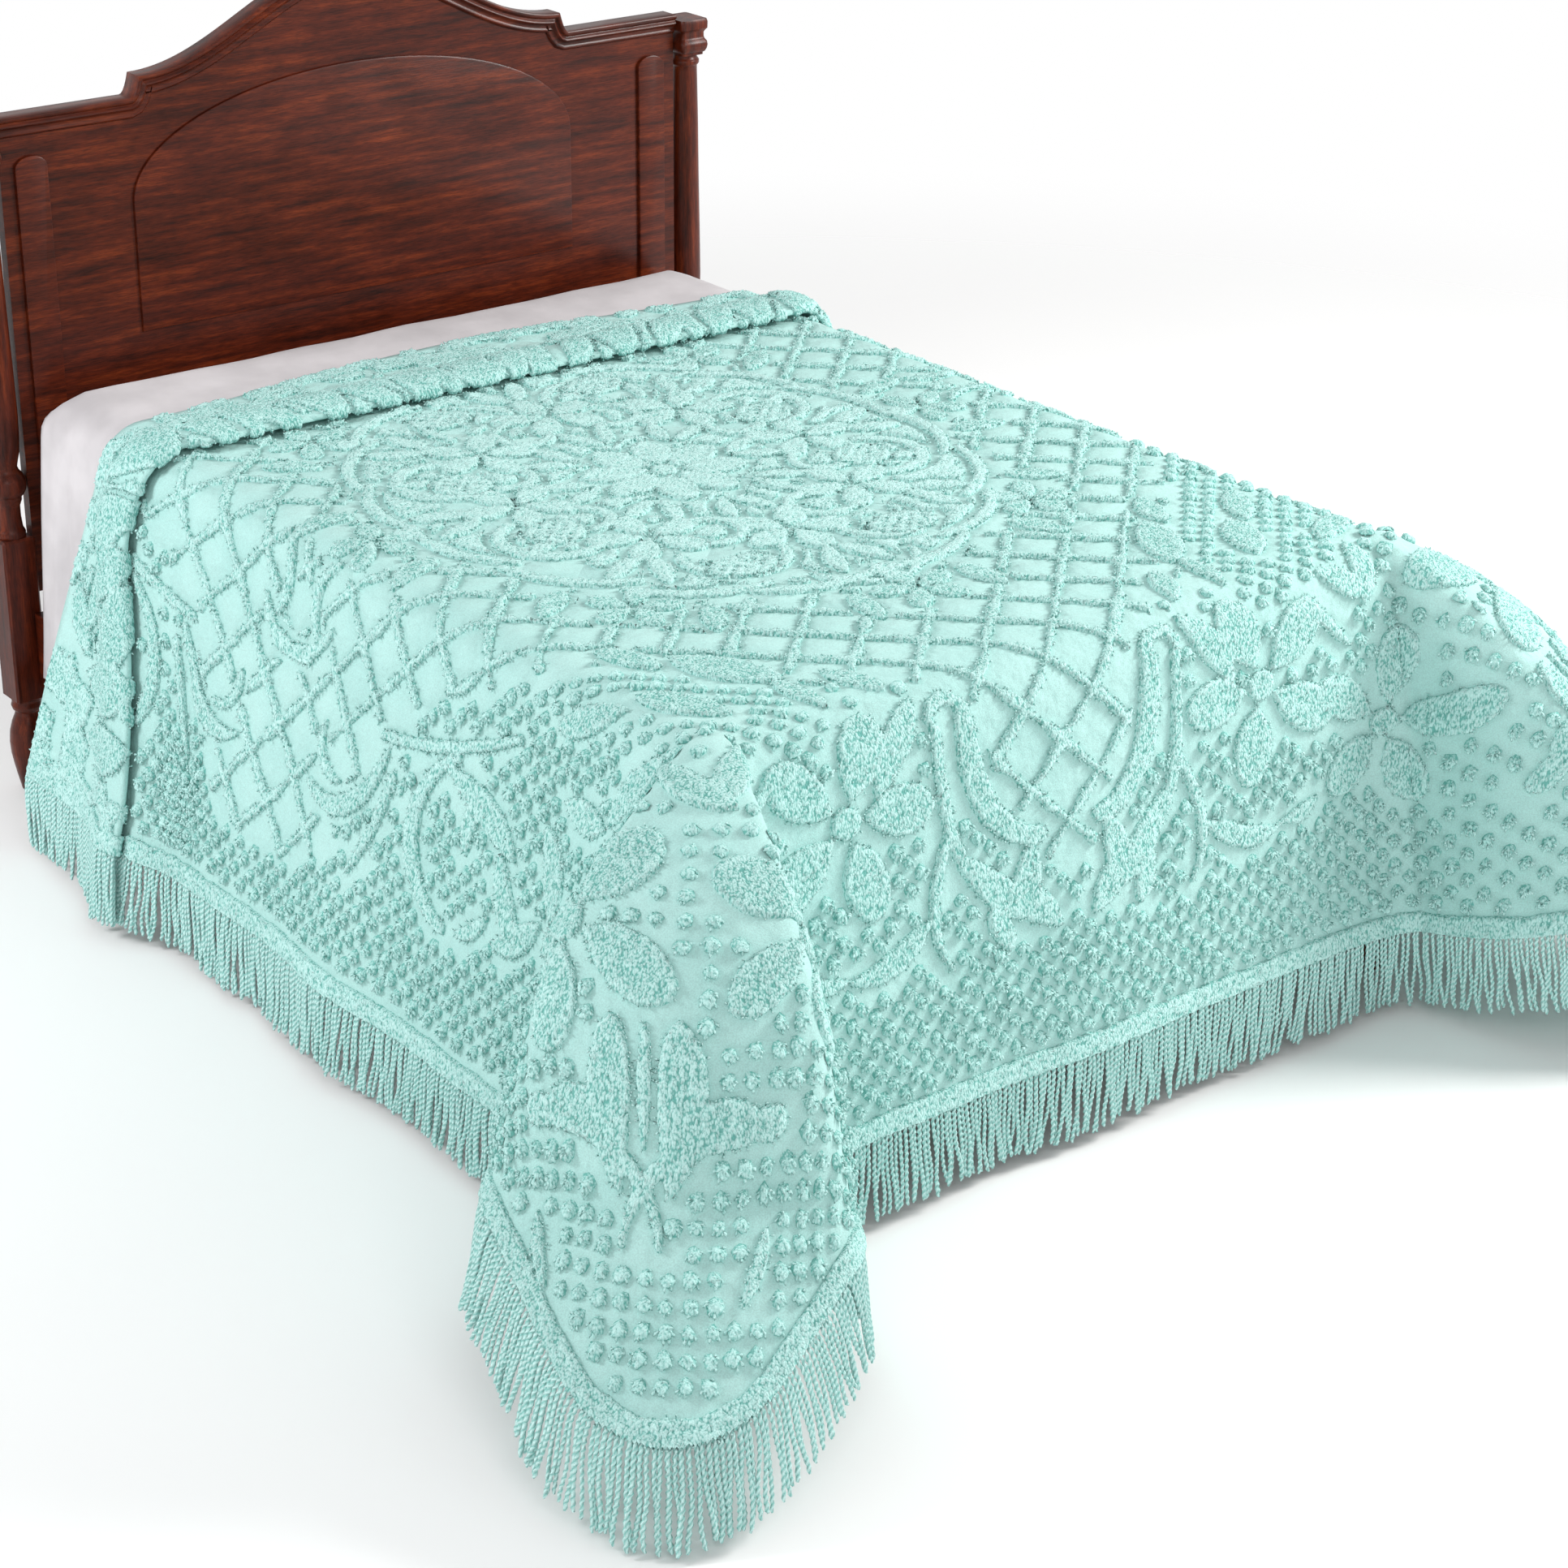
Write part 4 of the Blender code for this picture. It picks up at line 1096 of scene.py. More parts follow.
def lattice_lines(x, y, wander):
    """How deep each point is in the slanting lines of the lattice."""
    step_x, step_y = LATTICE_STEP
    slant = 1.0 / math.hypot(1.0 / step_x, 1.0 / step_y)
    lattice = np.full(x.shape, BARE)
    for sign in (1.0, -1.0):
        turns = (x - PATTERN_MIDDLE) / step_x + sign * (y - PATTERN_CENTRE) / step_y
        off = to_nearest(turns, slant)
        lattice = np.maximum(lattice, LATTICE_WIDTH / 2 - np.abs(off + wander))
    return lattice


def pattern_field(across, along, rng):
    """How deep each point of a flat grid lies in the tufting, and how far in from the hem."""
    motifs = np.full((len(along), len(across)), BARE)
    for line, width in pattern_strokes():
        stamp(motifs, across, along, line, width)
    x, y = np.meshgrid(across, along)
    wander = value_noise(x.shape, LINE_WANDER.cell, rng) * LINE_WANDER.height
    motifs = with_patches(motifs, x, y)
    ragged = FILL_RAGGED.height * value_noise(x.shape, FILL_RAGGED.cell, rng)
    motifs = filled_in(motifs, FILL_GAP, in_medallion(x, y) - FILL_MARGIN + ragged,
                       FILL_HOLES, FILL_SHARE, rng)
    motifs = filled_in(motifs, FOLD_GAP, y - PLEAT_MARKS[2], FOLD_HOLES, FOLD_SHARE, rng)
    inside = np.minimum(in_lattice(x, y), -motifs - CLEAR_OF_MOTIFS)
    lattice = np.minimum(lattice_lines(x, y, wander), inside)
    depth = hem_depth(x, y)
    band = np.minimum(depth + 0.002, HEM_BAND + 0.5 * wander - depth)
    field = np.maximum(np.maximum(motifs, lattice), band)
    rough = value_noise(x.shape, EDGE_ROUGH.cell, rng) * EDGE_ROUGH.height
    field = field + rough * (field > -0.010)
    hidden = (y > PLEAT_CREASE + 0.004) & (y < PLEAT_MARKS[2] + 0.002)
    hidden |= (y > HEM_HEAD - 0.004) | (depth < -0.002)
    return np.where(hidden, BARE, field), depth


# An end of yarn is a slim body of six faces: a root, three points round its belly, a tip.
YARN_FACES = np.array(((0, 2, 1), (0, 3, 2), (0, 1, 3), (1, 2, 4), (2, 3, 4), (3, 1, 4)))
YARN_PLACES = np.array((
    ((0.17, 0.0), (0.33, 0.5), (0.0, 0.5)), ((0.50, 0.0), (0.66, 0.5), (0.34, 0.5)),
    ((0.83, 0.0), (0.67, 0.5), (1.0, 0.5)), ((0.0, 0.55), (0.33, 0.55), (0.17, 1.0)),
    ((0.34, 0.55), (0.66, 0.55), (0.50, 1.0)), ((0.67, 0.55), (1.0, 0.55), (0.83, 1.0))))
# Tones of an end's root, belly and tip: painted shade at the root, painted highlight at the
# tip.
YARN_TONES = np.array((0.30, 0.60, 0.60, 0.60, 0.85))
YARN_BELLY = 0.66              # where along it an end of yarn is widest
YARN_BEND = 0.35


def yarn_ends(name, ends, droop, mat, rng):
    """Many ends of yarn as one mesh: where each is rooted, its way, length and width."""
    count = len(ends.root)
    across_way = unit(np.cross(ends.way, rng.normal(size=(count, 3))))
    other_way = np.cross(ends.way, across_way)
    middle = ends.root + ends.way * (YARN_BELLY * ends.length)[:, None]
    points = [ends.root]
    for angle in (0.0, 120.0, 240.0):
        cosine, sine = cos_sin(angle)
        points.append(middle + (across_way * cosine + other_way * sine)
                      * (ends.width / 2)[:, None])
    bent = unit(ends.way + rng.normal(size=(count, 3)) * YARN_BEND + droop * GRAVITY)
    points.append(middle + bent * ((1.0 - YARN_BELLY) * ends.length)[:, None])
    obj = mesh_piece(name, np.stack(points, axis=1).reshape(-1, 3),
                     repeated(YARN_FACES, 5, count), mat, YARN_TONES + ends.shade[:, None])
    cell_map(obj, np.broadcast_to(YARN_PLACES.reshape(1, 18, 2), (count, 18, 2)), 1.6)
    return obj


def two_pieces(name, ends, order, droop, mat, rng):
    """The ends of yarn in an order, as two pieces."""
    pieces = []
    for number, some in enumerate(np.array_split(order, 2), start=1):
        part = SimpleNamespace(**{key: value[some] for key, value in vars(ends).items()})
        pieces.append(yarn_ends(f"{name}_{number}", part, droop, mat, rng))
    return pieces


def lay_pile(rng):
    """The pile's points on its flat grid and over the bed, with how deep in it each is."""
    pile = SimpleNamespace()
    pile.across = np.arange(-HEM_SIDE, HEM_SIDE + PILE_STEP, PILE_STEP)
    pile.along = np.arange(HEM_FOOT, HEM_HEAD, PILE_STEP)
    pile.field, pile.depth = pattern_field(pile.across, pile.along, rng)
    pile.inside = pile.field > 0.0
    pile.on_band = (pile.depth > 0.0) & (pile.depth < HEM_BAND)
    pile.slope_y, pile.slope_x = np.gradient(pile.field, PILE_STEP)
    steep = np.maximum(np.hypot(pile.slope_x, pile.slope_y), 0.3)
    # points just outside come in to the edge, and points just inside stand back from it
    shift = np.where(pile.inside, np.clip(EDGE_SETBACK - pile.field, 0.0, EDGE_SETBACK),
                     np.clip(-pile.field, 0.0, 0.9 * PILE_STEP))
    shift = shift / steep ** 2
    x, y = np.meshgrid(pile.across, pile.along)
    pile.x = x + pile.slope_x * shift + rng.uniform(*PILE_JITTER, x.shape)
    pile.y = y + pile.slope_y * shift + rng.uniform(*PILE_JITTER, x.shape)
    pile.point, pile.right, pile.up, pile.outward = frame_on(pile.x, pile.y)
    return pile


def raise_pile(pile, rng):
    """How high the pile is at each of its points, and how light: painted shade at its
    skirt, on low points and deep inside wide motifs.
    """
    rise = 1.0 - (1.0 - np.clip(pile.field / PILE_SHOULDER, 0.0, 1.0)) ** 2
    lump = rng.uniform(-1.0, 1.0, pile.x.shape)
    tufts = value_noise(pile.x.shape, PILE_TUFTS.cell, rng)
    tufts = 1.0 + PILE_LUMPS * lump + PILE_TUFTS.height * tufts
    full = PILE_HEIGHT * (PILE_EDGE + (1.0 - PILE_EDGE) * rise) * tufts
    pile.height = np.where(pile.inside, full, -SKIRT_DROP)
    # painted light and shade: lighter where the pile rises and where a lump stands high
    tone = PILE_TONE.edge + PILE_TONE.lump * lump + PILE_TONE.rise * rise
    tone = np.where(pile.inside, tone, PILE_TONE.skirt)
    middle = in_medallion(pile.x, pile.y) > 0.0
    # painted shade deep inside wide motifs
    deep = ramp(pile.field, *DEEP_REACH) * ~middle * ~pile.on_band
    pile.tone = (tone + MEDALLION_TONE * middle - BAND_TONE * pile.on_band
                 - DEEP_TONE * deep)


def relief_pieces(pile, mat):
    """The pile as low relief on the cloth, in four pieces with as many faces each."""
    relief = (pile.point + pile.outward * pile.height[..., None]).reshape(-1, 3)
    places = np.stack([pile.x, pile.y], axis=-1).reshape(-1, 2)
    inside = pile.inside
    cell = inside[:-1, :-1] | inside[1:, :-1] | inside[:-1, 1:] | inside[1:, 1:]
    cell &= (pile.depth > -0.002)[:-1, :-1]
    total = cell.sum(axis=0).cumsum()
    bounds = np.searchsorted(total, np.array([0.25, 0.5, 0.75]) * total[-1])
    bounds = [0, *bounds, cell.shape[1]]
    pieces = []
    for number, (first, last) in enumerate(zip(bounds, bounds[1:]), start=1):
        rows, columns = np.nonzero(cell[:, first:last])
        corner = rows * inside.shape[1] + columns + first
        above = corner + inside.shape[1]
        quads = np.stack([corner, corner + 1, above + 1, above], axis=1)
        used, quads = np.unique(quads, return_inverse=True)
        obj = mesh_piece(f"pile_{number}", relief[used], quads.reshape(-1, 4), mat,
                         pile.tone.ravel()[used])
        flat = places[used]
        low, high = flat.min(axis=0), flat.max(axis=0)
        point_map(obj, "OFBake", (flat - low) / (high - low))
        pieces.append(obj)
    return pieces


def loose_ends(pile, mat, rng):
    """Ends of yarn that lean out over the edge of the pile, and stand up inside it."""
    on_cloth = pile.inside & (pile.depth > 0.0)
    at_edge = on_cloth & (pile.field < EDGE_REACH)
    chance = np.select([pile.on_band, at_edge, on_cloth], [BAND_ENDS, EDGE_ENDS, INNER_ENDS])
    chosen = rng.uniform(size=pile.x.shape) < chance
    count = chosen.sum()
    right, up, normal = pile.right[chosen], pile.up[chosen], pile.outward[chosen]

    def downhill(slope_x, slope_y):
        return -(right * slope_x[chosen, None] + up * slope_y[chosen, None])

    combed = pile.on_band[chosen][:, None]
    lean = np.clip(1.0 - pile.field[chosen] / LEAN_REACH, 0.0, 1.0)[:, None]
    lean = np.where(combed, 1.0, lean)
    hem_y, hem_x = np.gradient(pile.depth, PILE_STEP)
    side = np.where(combed, 2.0 * downhill(hem_x, hem_y), downhill(pile.slope_x, pile.slope_y))
    ends = SimpleNamespace()
    ends.way = unit(normal * (1.0 - 0.35 * lean) + side * END_LEAN * lean
                    + rng.normal(size=(count, 3)) * END_SCATTER)
    ends.root = pile.point[chosen] + normal * (0.25 * pile.height[chosen])[:, None]
    ends.length = rng.uniform(*END_LENGTH, count)
    ends.width = rng.uniform(*END_WIDTH, count)
    ends.shade = rng.uniform(*END_SHADE, count)
    return two_pieces("pile_ends", ends, np.argsort(pile.x[chosen]), END_DROOP, mat, rng)


def build_pile(mat):
    """The tufted pile as low relief on the cloth, and loose ends of yarn along its edges."""
    rng = np.random.default_rng(7)
    pile = lay_pile(rng)
    raise_pile(pile, rng)
    return relief_pieces(pile, mat) + loose_ends(pile, mat, rng), pile


def dot_places(pile, rng):
    """Where the dots stand: the crossings of the dotted border, clear of all else."""
    i, j = np.meshgrid(*DOT_GRID)
    keep = (i + j) % 2 == 0
    x = PATTERN_MIDDLE + DOT_STEP * i[keep] + rng.uniform(*DOT_JITTER, keep.sum())
    y = DOT_STEP * j[keep] + rng.uniform(*DOT_JITTER, keep.sum())
    clear = (hem_depth(x, y) > HEM_BAND + BAND_GAP) & (y < HEM_HEAD - 0.03)
    clear &= (y < PLEAT_CREASE - 0.01) | ((y > PLEAT_MARKS[3] + 0.02)
                                          & (np.abs(x) > HALF + 0.30))
    clear &= (in_lattice(x, y) < -DOT_CLEAR) & (in_medallion(x, y) < -0.010)
    column, row = (np.clip(np.rint((places - grid[0]) / PILE_STEP).astype(int), 0,
                           len(grid) - 1)
                   for places, grid in ((x, pile.across), (y, pile.along)))
    clear &= pile.field[row, column] < -DOT_CLEAR
    return x[clear], y[clear]


def build_knobs(mat, frames, size, rng):
    """The bodies of the dots: low domes that sag down the cloth."""
    point, right, up, outward = (part[:, None, None] for part in frames)
    count = len(point)
    radius, height, tone = np.array(KNOB_RINGS).T
    angle = np.arange(KNOB_SIDES) * 2 * math.pi / KNOB_SIDES
    shape = (count, len(radius), KNOB_SIDES)
    spread = rng.uniform(*KNOB_SPREAD.radius, shape) * size[..., None] * radius[:, None]
    lift = rng.uniform(*KNOB_SPREAD.height, shape) * size[..., None] * height[:, None]
    down = GRAVITY + outward * outward[..., 2:]
    points = (point + right * (spread * np.cos(angle))[..., None]
              + up * (spread * np.sin(angle))[..., None] + outward * lift[..., None]
              + down * (KNOB_SAG * lift)[..., None])
    summit = points[:, :1].mean(axis=2, keepdims=True)
    points = np.concatenate([summit.reshape(count, 1, 3), points.reshape(count, -1, 3)], axis=1)
    quads = grid_faces(len(radius), KNOB_SIDES, wrap=True) + 1
    cap = np.array([(0, 1 + k, 1 + (k + 1) % KNOB_SIDES) for k in range(KNOB_SIDES)])
    faces = np.concatenate([cap, quads[:, [0, 3, 1]], quads[:, [1, 3, 2]]])
    tones = np.concatenate([tone[:1], np.repeat(tone, KNOB_SIDES)])
    tones = tones + rng.uniform(*KNOB_SPREAD.tone, (count, len(tones)))
    obj = mesh_piece("pile_knobs", points.reshape(-1, 3),
                     repeated(faces, points.shape[1], count), mat, tones)
    share = np.concatenate([[0.0], np.repeat(radius / radius[-1], KNOB_SIDES)])
    turn = np.concatenate([[0.0], np.tile(angle, len(radius))])
    spots = 0.5 + 0.5 * share[:, None] * np.stack([np.cos(turn), np.sin(turn)], axis=1)
    spots = spots[faces].reshape(1, -1, 2)
    cell_map(obj, np.broadcast_to(spots, (count, faces.size, 2)), 1.0)
    return obj


def build_dots(mat, pile):
    """One small tuft at each crossing of the dotted border: a knob with loose ends."""
    rng = np.random.default_rng(11)
    frames = frame_on(*dot_places(pile, rng))
    count = len(frames[0])
    size = rng.uniform(*DOT_SIZE, (count, 1))
    pieces = [build_knobs(mat, frames, size, rng)]
    turn = rng.uniform(0, 2 * math.pi, (count, 1))
    columns = []
    for ring in DOT_RINGS:
        angle = turn + np.arange(ring.ends) * 2 * math.pi / ring.ends
        shape = angle.shape
        columns.append((angle + rng.uniform(*DOT_SPREAD.angle, shape),
                        ring.rooted * size * rng.uniform(*DOT_SPREAD.rooted, shape),
                        ring.height * size * rng.uniform(*DOT_SPREAD.height, shape),
                        np.radians(ring.lean + rng.uniform(*DOT_SPREAD.lean, shape)),
                        ring.length * size * rng.uniform(*DOT_SPREAD.length, shape)))
    angle, start, high, lean, length = (np.concatenate(part, axis=1).reshape(-1, 1)
                                        for part in zip(*columns))
    point, right, up, outward = (np.repeat(part, len(angle) // count, axis=0)
                                 for part in frames)
    spread_way = right * np.cos(angle) + up * np.sin(angle)
    ends = SimpleNamespace(root=point + spread_way * start + outward * high)
    ends.way = unit(outward * np.cos(lean) + spread_way * np.sin(lean) + DOT_DROOP * GRAVITY)
    ends.length = length.ravel()
    ends.width = rng.uniform(*DOT_WIDTH, len(angle))
    ends.shade = rng.uniform(*DOT_SHADE, len(angle))
    return pieces + two_pieces("pile_dots", ends, np.arange(len(angle)), DOT_DROOP, mat, rng)


# ---------------------------------------------------------------- the fringe
STRAND_PITCH = 0.0082
STRAND_LENGTH = 0.126
STRAND_REACH = 0.0035
STRAND_START = 0.010           # how far up under the band a strand is sewn on
STRAND_SIDES = 4
STRAND_RINGS = 2 * round(STRAND_LENGTH / PLY_PITCH) + 2
STRAND_HANG = 0.48             # how much of the cloth's own fall a strand keeps
STRAND_TURN = 0.045            # the length over which a strand turns to hang
ZIGZAG = 0.0009                # how far the rings of a strand stand to one side in turn
LOWEST_TIP = 0.004
# How strands differ from each other: the least and the most.
LENGTH_SPREAD = (-0.055, 0.045)
BUNCH_CHANCE = 0.40
BUNCH_LEAN = (-0.0015, 0.0015)
BUNCH_PULL = (0.05, 0.25)
PULL_SPREAD = (-0.0045, 0.0045)
SWING_SPREAD = (-0.004, 0.004)
THICK_SPREAD = (0.90, 1.12)
WANDER = SimpleNamespace(height=0.0042, turn=(4, 9), start=(0, 6.3))
# Slow changes round the hem: how long they are, and how much they do.
HemNoise = namedtuple("HemNoise", "length height")
HEM_LENGTHS = HemNoise(0.05, 0.035)
HEM_PULL = HemNoise(0.16, 0.020)
HEM_SWING = HemNoise(0.07, 0.006)


def hem_line(step):
    """Points round the hem from the head on the left, and their outward directions."""
    side = HEM_HEAD - HEM_FOOT - SPREAD_CORNER
    arc = math.pi / 2 * SPREAD_CORNER
    foot = 2 * (HEM_SIDE - SPREAD_CORNER)
    marks = np.cumsum([0.0, side, arc, foot, arc, side])
    travel = np.arange(0.0, marks[-1], step)
    angle = np.radians(np.interp(travel, marks, [0.0, 0.0, 90.0, 90.0, 180.0, 180.0]))
    outward = np.stack([-np.cos(angle), -np.sin(angle)], axis=1)
    core_x = np.interp(travel, marks, [-1, -1, -1, 1, 1, 1]) * (HEM_SIDE - SPREAD_CORNER)
    low = HEM_FOOT + SPREAD_CORNER
    core_y = np.interp(travel, marks, [HEM_HEAD, low, low, low, low, HEM_HEAD])
    return np.stack([core_x, core_y], axis=1) + outward * SPREAD_CORNER, outward


def fringe_roots(rng):
    """Where each strand starts, the way the cloth runs down there, and the way of the hem."""
    flat, outward = hem_line(0.003)
    hidden = (flat[:, 1] > PLEAT_CREASE + 0.03) & (flat[:, 1] < PLEAT_MARKS[2] + 0.012)
    flat, outward = flat[~hidden], outward[~hidden]
    edge = lie(*flat.T)
    down = unit(edge - lie(*(flat - 0.015 * outward).T))
    steps = np.linalg.norm(np.diff(edge, axis=0), axis=1)
    travelled = np.concatenate([[0.0], np.cumsum(steps)])
    count = int(travelled[-1] / STRAND_PITCH)
    stops = (np.arange(count) + 0.5 + rng.uniform(-0.22, 0.22, count)) * (travelled[-1] / count)

    def at(places, rows):
        return np.stack([np.interp(places, travelled, column) for column in rows.T], axis=1)

    root = at(stops, edge)
    return root, unit(at(stops, down)), unit(at(stops + 0.01, edge) - root), stops


def slow_noise(stops, change, rng):
    """Noise that changes over about a given length of hem, and has a given height."""
    count = int(stops[-1] / change.length) + 4
    level = np.interp(stops / change.length, np.arange(count), rng.uniform(-1.0, 1.0, count))
    return change.height * level


def strand_sway(stops, rng):
    """Each strand's length, and how far its tip is drawn along the hem and swings out."""
    count = len(stops)
    length = STRAND_LENGTH * (1.0 + slow_noise(stops, HEM_LENGTHS, rng)
                              + rng.uniform(*LENGTH_SPREAD, count)) + STRAND_START
    # strands draw together in small bunches, and bunches lean this way and that
    bunch = np.cumsum(rng.uniform(size=count) < BUNCH_CHANCE)
    middles = np.array([stops[bunch == b].mean() for b in range(bunch[-1] + 1)])
    lean = rng.uniform(*BUNCH_LEAN, bunch[-1] + 1)
    pull = (middles[bunch] - stops) * rng.uniform(*BUNCH_PULL, count) + lean[bunch]
    pull = pull + slow_noise(stops, HEM_PULL, rng) + rng.uniform(*PULL_SPREAD, count)
    swing = slow_noise(stops, HEM_SWING, rng) + rng.uniform(*SWING_SPREAD, count)
    return length[:, None], pull[:, None], swing[:, None]


def strand_lines(root, down, run, outward, stops, rng):
    """The middle line of every strand, and how far along it each of its rings lies."""
    count = len(root)
    length, pull, swing = strand_sway(stops, rng)
    share = np.linspace(0.0, 1.0, STRAND_RINGS)[None]
    travel = share * length
    turn_over = smooth(travel / STRAND_TURN)[..., None]
    hang = unit(STRAND_HANG * down + GRAVITY)
    direction = unit(down[:, None] * (1 - turn_over) + hang[:, None] * turn_over)
    step = length[..., None] / (STRAND_RINGS - 1)
    line = np.cumsum(direction * step, axis=1) - direction[:, :1] * step
    line = line + root[:, None] - down[:, None] * STRAND_START
    bow = share ** 1.6
    wander = WANDER.height * np.sin(share * rng.uniform(*WANDER.turn, (count, 1))
                                    + rng.uniform(*WANDER.start, (count, 1))) * share
    line = line + run[:, None] * (pull * bow + wander)[..., None]
    line = line + outward[:, None] * (swing * bow)[..., None]
    zigzag = np.where(np.arange(STRAND_RINGS) % 2 == 0, 1.0, -1.0) * ZIGZAG * (share > 0.08)
    zigzag = zigzag * rng.choice([-1.0, 1.0], (count, 1))
    line = line + run[:, None] * zigzag[..., None]
    low = np.minimum(line[:, -1, 2] - LOWEST_TIP, 0.0)
    line[..., 2] -= low[:, None] * share ** 3
    return line, travel


def build_fringe(mat):
    """Twisted strands of yarn all round the hem, in three pieces."""
    rng = np.random.default_rng(23)
    root, down, run, stops = fringe_roots(rng)
    count = len(root)
    outward = unit(down - GRAVITY * (down @ GRAVITY)[:, None])
    line, travel = strand_lines(root, down, run, outward, stops, rng)
    tangent = unit(np.gradient(line, axis=1))
    side = unit(np.cross(tangent, outward[:, None]))
    front = np.cross(side, tangent)
    share = np.linspace(0.0, 1.0, STRAND_RINGS)
    taper = np.where(share < 0.97, 1.0, 0.55) * np.where(share < 0.04, 0.8, 1.0)
    thick = STRAND_REACH * rng.uniform(*THICK_SPREAD, (count, 1)) * taper
    turn = np.arange(STRAND_SIDES) / STRAND_SIDES
    angle = 2 * math.pi * turn[:, None]
    ring = side[:, :, None] * np.cos(angle) + front[:, :, None] * np.sin(angle)
    points = line[:, :, None] + ring * thick[..., None, None]
    climb = travel + rng.uniform(0.0, PLY_PITCH, (count, 1))
    bounds = np.linspace(0, count, 4).astype(int)
    return [strand_piece(f"fringe_{number}", points[first:last], climb[first:last], mat)
            for number, (first, last) in enumerate(zip(bounds, bounds[1:]), start=1)]


def strand_piece(name, points, climb, mat):
    """Some strands as one mesh, with their turn and length for the plies, and bake cells."""
    count = len(points)
    faces = grid_faces(STRAND_RINGS, STRAND_SIDES, wrap=True)[:, ::-1]
    obj = mesh_piece(name, points.reshape(-1, 3),
                     repeated(faces, STRAND_RINGS * STRAND_SIDES, count), mat)
    turn = np.tile(np.arange(STRAND_SIDES) / STRAND_SIDES, STRAND_RINGS)[faces]
    last = turn.max(axis=1, keepdims=True) - turn > 0.5
    turn = np.repeat((turn + last)[None], count, axis=0)
    travel = np.repeat(climb, STRAND_SIDES, axis=1)[:, faces]
    corner_map(obj, "strand", np.stack([turn, travel], axis=-1))
    spots = np.stack([turn, travel / climb.max()], axis=-1).reshape(count, -1, 2)
    cell_map(obj, spots, 4.0, (0.05, 0.03))
    return obj


# ---------------------------------------------------------------- sheet, mattress and base
SHEET_THICK = 0.0012
# Ripples of the sheet's hanging sides: height, length along the bed, turn down the fall.
SheetWave = namedtuple("SheetWave", "height length turn")
SHEET_WAVE = SheetWave(0.006, 0.33, 0.0)
SHEET_FOLDS = (SheetWave(0.005, 0.115, 3.0), SheetWave(0.003, 0.061, 5.0))
FOLDS_FROM = (1.62, 1.78)
RUMPLE_FROM = (1.72, 1.80)
SHEET_PUFF = 0.0025            # how much higher the sheet lies where it is bare
Pad = namedtuple("Pad", "name solid radius crown")
PADS = (Pad("mattress_pad", "mattress", 0.070, 0.004),
        Pad("box_base_pad", "box_base", 0.020, 0.001))
PAD_QUILTING = 0.002
Piping = namedtuple("Piping", "name solid inset corner heights radius")
PIPINGS = (Piping("mattress_piping", "mattress", 0.026, 0.060, (0.085, 0.915), 0.0045),
           Piping("box_base_piping", "box_base", 0.004, 0.024, (0.07, 0.93), 0.0040))


def sheet_rumple(x, y):
    """The small rumples of the sheet where it shows, on the bed's top."""
    return (0.0016 * np.sin(17.0 * x + 9.0 * y) * np.sin(13.0 * y - 5.0 * x)
            + 0.0009 * np.sin(31.0 * x - 23.0 * y))


def build_sheet(mat):
    """The plain sheet lies on the mattress and hangs at both sides in soft folds."""
    roll = MATTRESS_ROLL + SHEET_SIDE
    half = MATTRESS_WIDTH / 2 + SHEET_SIDE - roll
    arc = roll * math.pi / 2
    across = hanging_lines(half, lines_through(0.0, (arc, 7), (SHEET_FALL, 14)), 24)
    along = lines_through(SHEET_FOOT, (1.50, 16), (SHEET_HEAD, 44))
    flat_x, y = (part.ravel() for part in np.meshgrid(across, along))
    over = np.maximum(np.abs(flat_x) - half, 0.0)
    out, drop, _ = fall(over, roll, math.radians(SHEET_TILT))
    share = over / SHEET_FALL

    def ripple(wave):
        return wave.height * np.sin(2.0 * math.pi * y / wave.length + wave.turn * share)

    folds = ramp(y, *FOLDS_FROM) * sum(map(ripple, SHEET_FOLDS))
    out = out + share * (ripple(SHEET_WAVE) + folds)
    past = np.clip(y - MATTRESS_LENGTH + MATTRESS_ROLL, 0.0, None) / roll
    sink = roll * (1.0 - np.sqrt(1.0 - np.minimum(past, 0.95) ** 2))
    sink = sink * (1.0 - ramp(over, 0.0, arc))
    rumple = (sheet_rumple(flat_x, y) + SHEET_PUFF) * ramp(y, *RUMPLE_FROM) * (over <= 0.0)
    x = np.sign(flat_x) * (np.minimum(np.abs(flat_x), half) + out)
    z = MATTRESS_TOP + SHEET_RISE + rumple - drop - sink
    obj = mesh_piece("bed_sheet_cloth", np.stack([x, y, z], axis=1) + ORIGIN,
                     grid_faces(len(along), len(across)), mat)
    solidify(obj, SHEET_THICK)
    return obj


def padded_box(pad, mat):
    """A mattress or base: rounded edges, a low crown, and sides drawn in at mid-height."""
    low, high = corners_of(pad.solid)
    size = high - low
    bm = bmesh.new()
    bmesh.ops.create_cube(bm, size=1.0)
    bmesh.ops.scale(bm, vec=size, verts=bm.verts)
    bmesh.ops.bevel(bm, geom=bm.edges[:], offset=pad.radius, segments=6, profile=0.5,
                    affect="EDGES")
    bmesh.ops.subdivide_edges(bm, edges=[e for e in bm.edges if e.calc_length() > 0.2],
                              cuts=11, use_grid_fill=True)
    for vert in bm.verts:
        x, y, z = vert.co
        inner = (1 - (2 * x / size[0]) ** 2) * (1 - (2 * y / size[1]) ** 2)
        vert.co.z = z - pad.crown * (1 - max(inner, 0.0) ** 0.5) * (z > 0)
        pull = PAD_QUILTING * (1 - abs(2 * z / size[2]) ** 2)
        vert.co.x = x - math.copysign(pull, x) * (abs(x) > 0.49 * size[0])
        vert.co.y = y - math.copysign(pull, y) * (abs(y) > 0.49 * size[1])
    mesh = bpy.data.meshes.new(pad.name)
    finish_body(bm, mesh)
    mesh.materials.append(mat)
    return put_in_scene(pad.name, mesh, (low + high) / 2)


